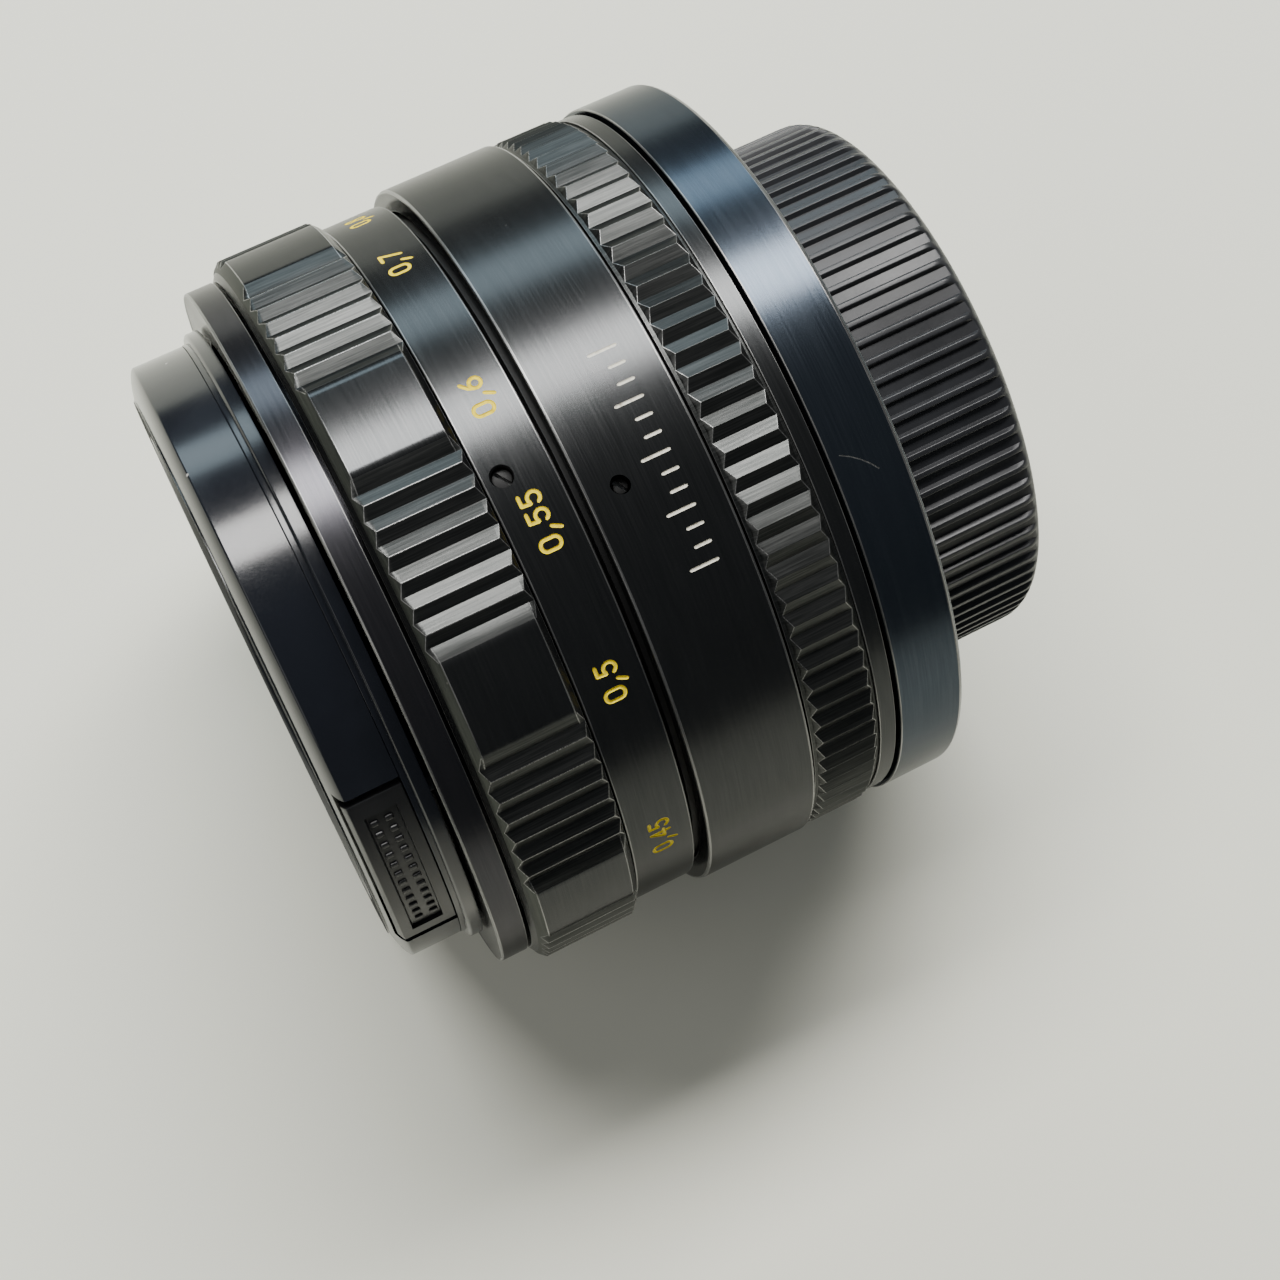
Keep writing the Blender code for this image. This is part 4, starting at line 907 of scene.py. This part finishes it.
def make_aperture_ring():
    front, rear, radius = ring_size("aperture_ring")
    root = radius - APERTURE_RIB_DEPTH
    seat = root - 0.02
    ribs_front, ribs_rear = APERTURE_RIBS_FRONT, APERTURE_RIBS_REAR
    seam = APERTURE_SEAM
    outline = rib_outline(APERTURE_RIBS, radius, APERTURE_RIB_DEPTH, APERTURE_RIB_CREST, 0.0,
                          APERTURE_RIB_PHASE)
    profile = [(APERTURE_BORE, front), (seat, front), (root, ribs_front), (radius, ribs_front + 0.45),
               (radius, ribs_rear - 0.45), (root, ribs_rear), (seat, seam - 0.01),
               (APERTURE_BORE, seam - 0.01)]
    ribs = turned("aperture_ribs", "aperture_ring", ["aperture_ring"], profile, "cut",
                  0.04, "edge", outline)
    even_shading(ribs)
    strip = APERTURE_STRIP_RADIUS
    band = turned("aperture_band", "aperture_ring", ["aperture_ring"], [
        (APERTURE_BORE, seam + 0.01), (strip, seam + 0.01), (strip, rear), (APERTURE_BORE, rear)],
        "anodised", 0.08, "edge", None, 360)
    marks = [(text_strokes(text, 1.3), INDEX_ANGLE - STOP_STEP * number, 42.0)
             for number, text in enumerate(STOPS)]
    engrave(band, strip, "white", marks, 0.1)
    even_shading(band)


# ---------------------------------------------------------------- mount and rear cap

def make_mount():
    front, rear, radius = ring_size("mount_housing")
    bore = 29.0
    opening = 24.3
    floor = 45.2
    profile = [(bore, front), (radius, front), (radius, rear - 0.3), (radius - 0.3, rear),
               (opening, rear), (opening, floor), (bore, floor)]
    shell = turned("rear_ring", "lens_body", ["mount_housing"], profile, "rear", 0.12, "edge")
    holes = bmesh.new()
    for angle in MOUNT_SCREW_ANGLES:
        across = MOUNT_SCREW_RADIUS
        rod_shape(holes, 1.7, point(across, angle, 47.0), point(across, angle, 50.0))
        rod_shape(holes, 1.05, point(across, angle, 44.0), point(across, angle, 47.5))
    cut(shell, new_piece("screw_holes", holes, "inside"), True)
    scratch = [(0.0, 0.0), (-0.4, -0.7), (-0.9, -1.35), (-1.5, -1.95), (-2.1, -2.4)]
    engrave(shell, radius, "edge", [([scratch], SCRATCH_ANGLE, SCRATCH_STATION)], 0.045)
    even_shading(shell)
    for number, angle in enumerate(MOUNT_SCREW_ANGLES, 1):
        make_mount_screw(number, angle)
    make_mount_thread()


def make_mount_screw(number, angle):
    """A slotted cheese-head screw with a rounded rim."""
    across = MOUNT_SCREW_RADIUS
    shape = bmesh.new()
    rod_shape(shape, 1.4, point(across, angle, 47.3), point(across, angle, 48.2))
    rod_shape(shape, 0.75, point(across, angle, 45.3), point(across, angle, 47.25))
    screw = new_piece(f"housing_screw_{number}", shape, "steel", "lens_body")
    soften(screw, 0.15)
    slot = bmesh.new()
    place = polar_place(angle, 0.0) @ Matrix.Translation((0, 0, across * MM))
    place = place @ Matrix.Rotation(math.radians(25.0 * number), 4, "Y")
    box_shape(slot, (-2.0, 47.8, -0.2), (2.0, 49.0, 0.2), place)
    cut(screw, new_piece("slot", slot, "steel"))
    even_shading(screw)
    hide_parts(f"mount_screw_{number}")


def make_mount_thread():
    """The threaded ring that screws into the camera: one start, with a faded end."""
    front, rear, flange = ring_size("mount_thread")
    root = MOUNT_THREAD_CREST - MOUNT_THREAD_DEPTH
    face = MOUNT_FACE
    per_turn = 180
    rows = int((rear - face) / MOUNT_THREAD_PITCH * 4)
    shape = bmesh.new()
    columns = []
    for index in range(per_turn):
        turn = index / per_turn
        ends = [(MOUNT_BORE, front), (flange, front), (flange, face), (root, face)]
        column = [shape.verts.new(point(reach, 360.0 * turn, station)) for reach, station in ends]
        for row in range(rows + 1):
            station = face + 0.2 + (rear - face - 0.4) * row / rows
            phase = (station / MOUNT_THREAD_PITCH - turn) % 1.0
            height = 1.0 - abs(2.0 * phase - 1.0)
            ease = min(1.0, (rear - station) / 0.8)
            reach = root + MOUNT_THREAD_DEPTH * height * ease
            column.append(shape.verts.new(point(reach, 360.0 * turn, station)))
        column.append(shape.verts.new(point(root - 0.3, 360.0 * turn, rear)))
        column.append(shape.verts.new(point(MOUNT_BORE, 360.0 * turn, rear)))
        columns.append(column)
    for near, far in zip(columns, columns[1:] + columns[:1]):
        for row in range(len(near)):
            after = (row + 1) % len(near)
            shape.faces.new((near[row], near[after], far[after], far[row]))
    ring = new_piece("mount_ring", shape, "bare", "lens_body")
    even_shading(ring, 50.0)
    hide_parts("mount_thread")


def make_rear_cap():
    front, rear, radius = ring_size("rear_cap")
    root = radius - REAR_CAP_RIB_DEPTH
    floor = rear - REAR_CAP_FLOOR
    outline = rib_outline(REAR_CAP_RIBS, radius, REAR_CAP_RIB_DEPTH, 0.25, 0.52)
    profile = [(0, floor), (REAR_CAP_BORE, floor), (REAR_CAP_BORE, front), (root, front),
               (root, front + 0.9), (radius, front + 1.5)]
    profile += arc((radius - REAR_CAP_EDGE, rear - REAR_CAP_EDGE), REAR_CAP_EDGE, 0.0, 90.0, 8)
    profile += [(17.5, rear), (17.2, rear - 0.25), (0, rear - 0.25)]
    cap = turned("rear_cap_shell", "rear_cap", ["rear_cap"], profile[::-1], "cap_rear", 0.07,
                 None, outline)
    even_shading(cap)


# ---------------------------------------------------------------- inner pieces

INNER_LOOKS = {
    "inside": ["front_cell", "front_spacer", "rear_cell", "rear_spacer", "rear_retainer",
               "iris_housing", "iris_base_plate"],
    "steel": ["aperture_cam_lug", "click_ball", "click_spring", "pin_spring", "stop_down_pin",
              "cap_spring_left", "cap_spring_right", "iris_lever",
              *(f"iris_blade_{number}" for number in range(1, 7))],
    "brass": ["guide_key_1", "guide_key_2", "iris_drive_ring"],
    "glass": ["lens_2_meniscus", "lens_3_negative", "lens_4_negative", "lens_5_positive"],
}
OPEN_LOOKS = {
    "lens_barrel": ("optical_block", "trim", 0.08), "main_sleeve": ("lens_body", "inside", 0.08),
    "helicoid_sleeve": ("focus_ring", "inside", 0.08),
    "rear_baffle": ("lens_body", "inside", 0.1), "pin_guide_plate": ("lens_body", "inside", 0.1),
    "lens_1_front": ("optical_block", "glass", 0.15), "lens_6_rear": ("optical_block", "glass", 0.15),
}


def dress_inner_nodes():
    """Gives the CAD nodes that stay their finished looks."""
    for look, names in INNER_LOOKS.items():
        for name in names:
            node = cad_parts[name]
            if not node.material_slots:
                node.data.materials.append(LOOKS[look])
            for slot in node.material_slots:
                slot.material = LOOKS[look]


def dress_open_nodes():
    """Stands finished copies, round and with softened edges, for the nodes seen without the caps."""
    for name, (body, look, bevel) in OPEN_LOOKS.items():
        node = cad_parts[name]
        shape = bmesh.new()
        shape.from_mesh(node.data)
        shape.transform(node.matrix_world)
        bmesh.ops.remove_doubles(shape, verts=shape.verts, dist=0.001 * MM)
        bmesh.ops.dissolve_limit(shape, angle_limit=math.radians(0.5), verts=shape.verts,
                                 edges=shape.edges)
        piece = new_piece(f"{name}_finished", shape, look, body)
        soften(piece, bevel, None, 30.0)
        even_shading(piece, 30.0)
        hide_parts(name)


# ---------------------------------------------------------------- studio

def make_floor():
    shape = bmesh.new()
    bmesh.ops.create_grid(shape, x_segments=1, y_segments=1, size=1.6)
    mesh = bpy.data.meshes.new("floor")
    shape.to_mesh(mesh)
    shape.free()
    floor = bpy.data.objects.new("floor", mesh)
    bpy.context.scene.collection.objects.link(floor)
    surface = Surface("pale_floor", Roughness=0.5, Specular_IOR_Level=0.3)
    drift = surface.noise(surface.place, 6.0, 2.0)
    surface.colour(surface.mix(drift, (0.78, 0.78, 0.67), (0.8, 0.8, 0.69)))
    mesh.materials.append(surface.material)


def make_light(name, direction, distance, size, power, colour, look_at=(0.0, 0.0, 0.0318)):
    light = bpy.data.lights.new(name, "AREA")
    light.shape = "RECTANGLE"
    light.size = size[0]
    light.size_y = size[1]
    light.energy = power
    light.color = colour
    lamp = bpy.data.objects.new(name, light)
    bpy.context.scene.collection.objects.link(lamp)
    away = Vector(direction).normalized()
    lamp.location = Vector(look_at) + away * distance
    # The light's X side lies across the optical axis and its Y side along it
    along = (Vector((0, 1, 0)) - away * away.y).normalized()
    across = along.cross(away)
    turn = Matrix((across, along, away)).transposed().to_4x4()
    lamp.matrix_world = Matrix.Translation(lamp.location) @ turn


def round_axis(angle, lean=0.0):
    """A direction at an angle round the optical axis, leaning towards the rear."""
    tilt = math.radians(lean)
    return outward(angle) * math.cos(tilt) + Vector((0, 1, 0)) * math.sin(tilt)


def make_lights():
    key = KEY_ANGLE - VIEW_TILT
    window = WINDOW_ANGLE - VIEW_TILT
    make_light("key", round_axis(key, 9.0), 1.0, (0.27, 1.1), 21.5, (1.0, 0.99, 0.97))
    make_light("window", round_axis(window, 8.0), 1.2, (0.3, 1.0), 5.2, (0.72, 0.9, 1.0))
    make_light("front_fill", Vector((0.1, -0.75, 0.66)), 1.2, (1.4, 0.7), 4.0, (1.0, 0.98, 0.95))
    world = bpy.context.scene.world or bpy.data.worlds.new("world")
    bpy.context.scene.world = world
    world.use_nodes = True
    background = world.node_tree.nodes["Background"]
    background.inputs["Color"].default_value = (0.85, 0.93, 1.0, 1.0)
    background.inputs["Strength"].default_value = 0.1


def make_camera():
    data = bpy.data.cameras.new("camera")
    data.sensor_width = 36.0
    data.lens = FOCAL_LENGTH
    data.clip_start = 0.01
    camera = bpy.data.objects.new("camera", data)
    bpy.context.scene.collection.objects.link(camera)
    camera.location = point(VIEW_DISTANCE, -VIEW_TILT, VIEW_STATION)
    camera.rotation_euler = [math.radians(turn) for turn in VIEW_TURN]
    bpy.context.scene.camera = camera


def main():
    make_front_cap()
    make_filter_ring()
    make_lock_rings()
    make_focus_grip()
    make_distance_ring()
    make_fixed_ring()
    make_aperture_ring()
    make_mount()
    make_rear_cap()
    dress_inner_nodes()
    dress_open_nodes()
    make_floor()
    make_lights()
    make_camera()


main()
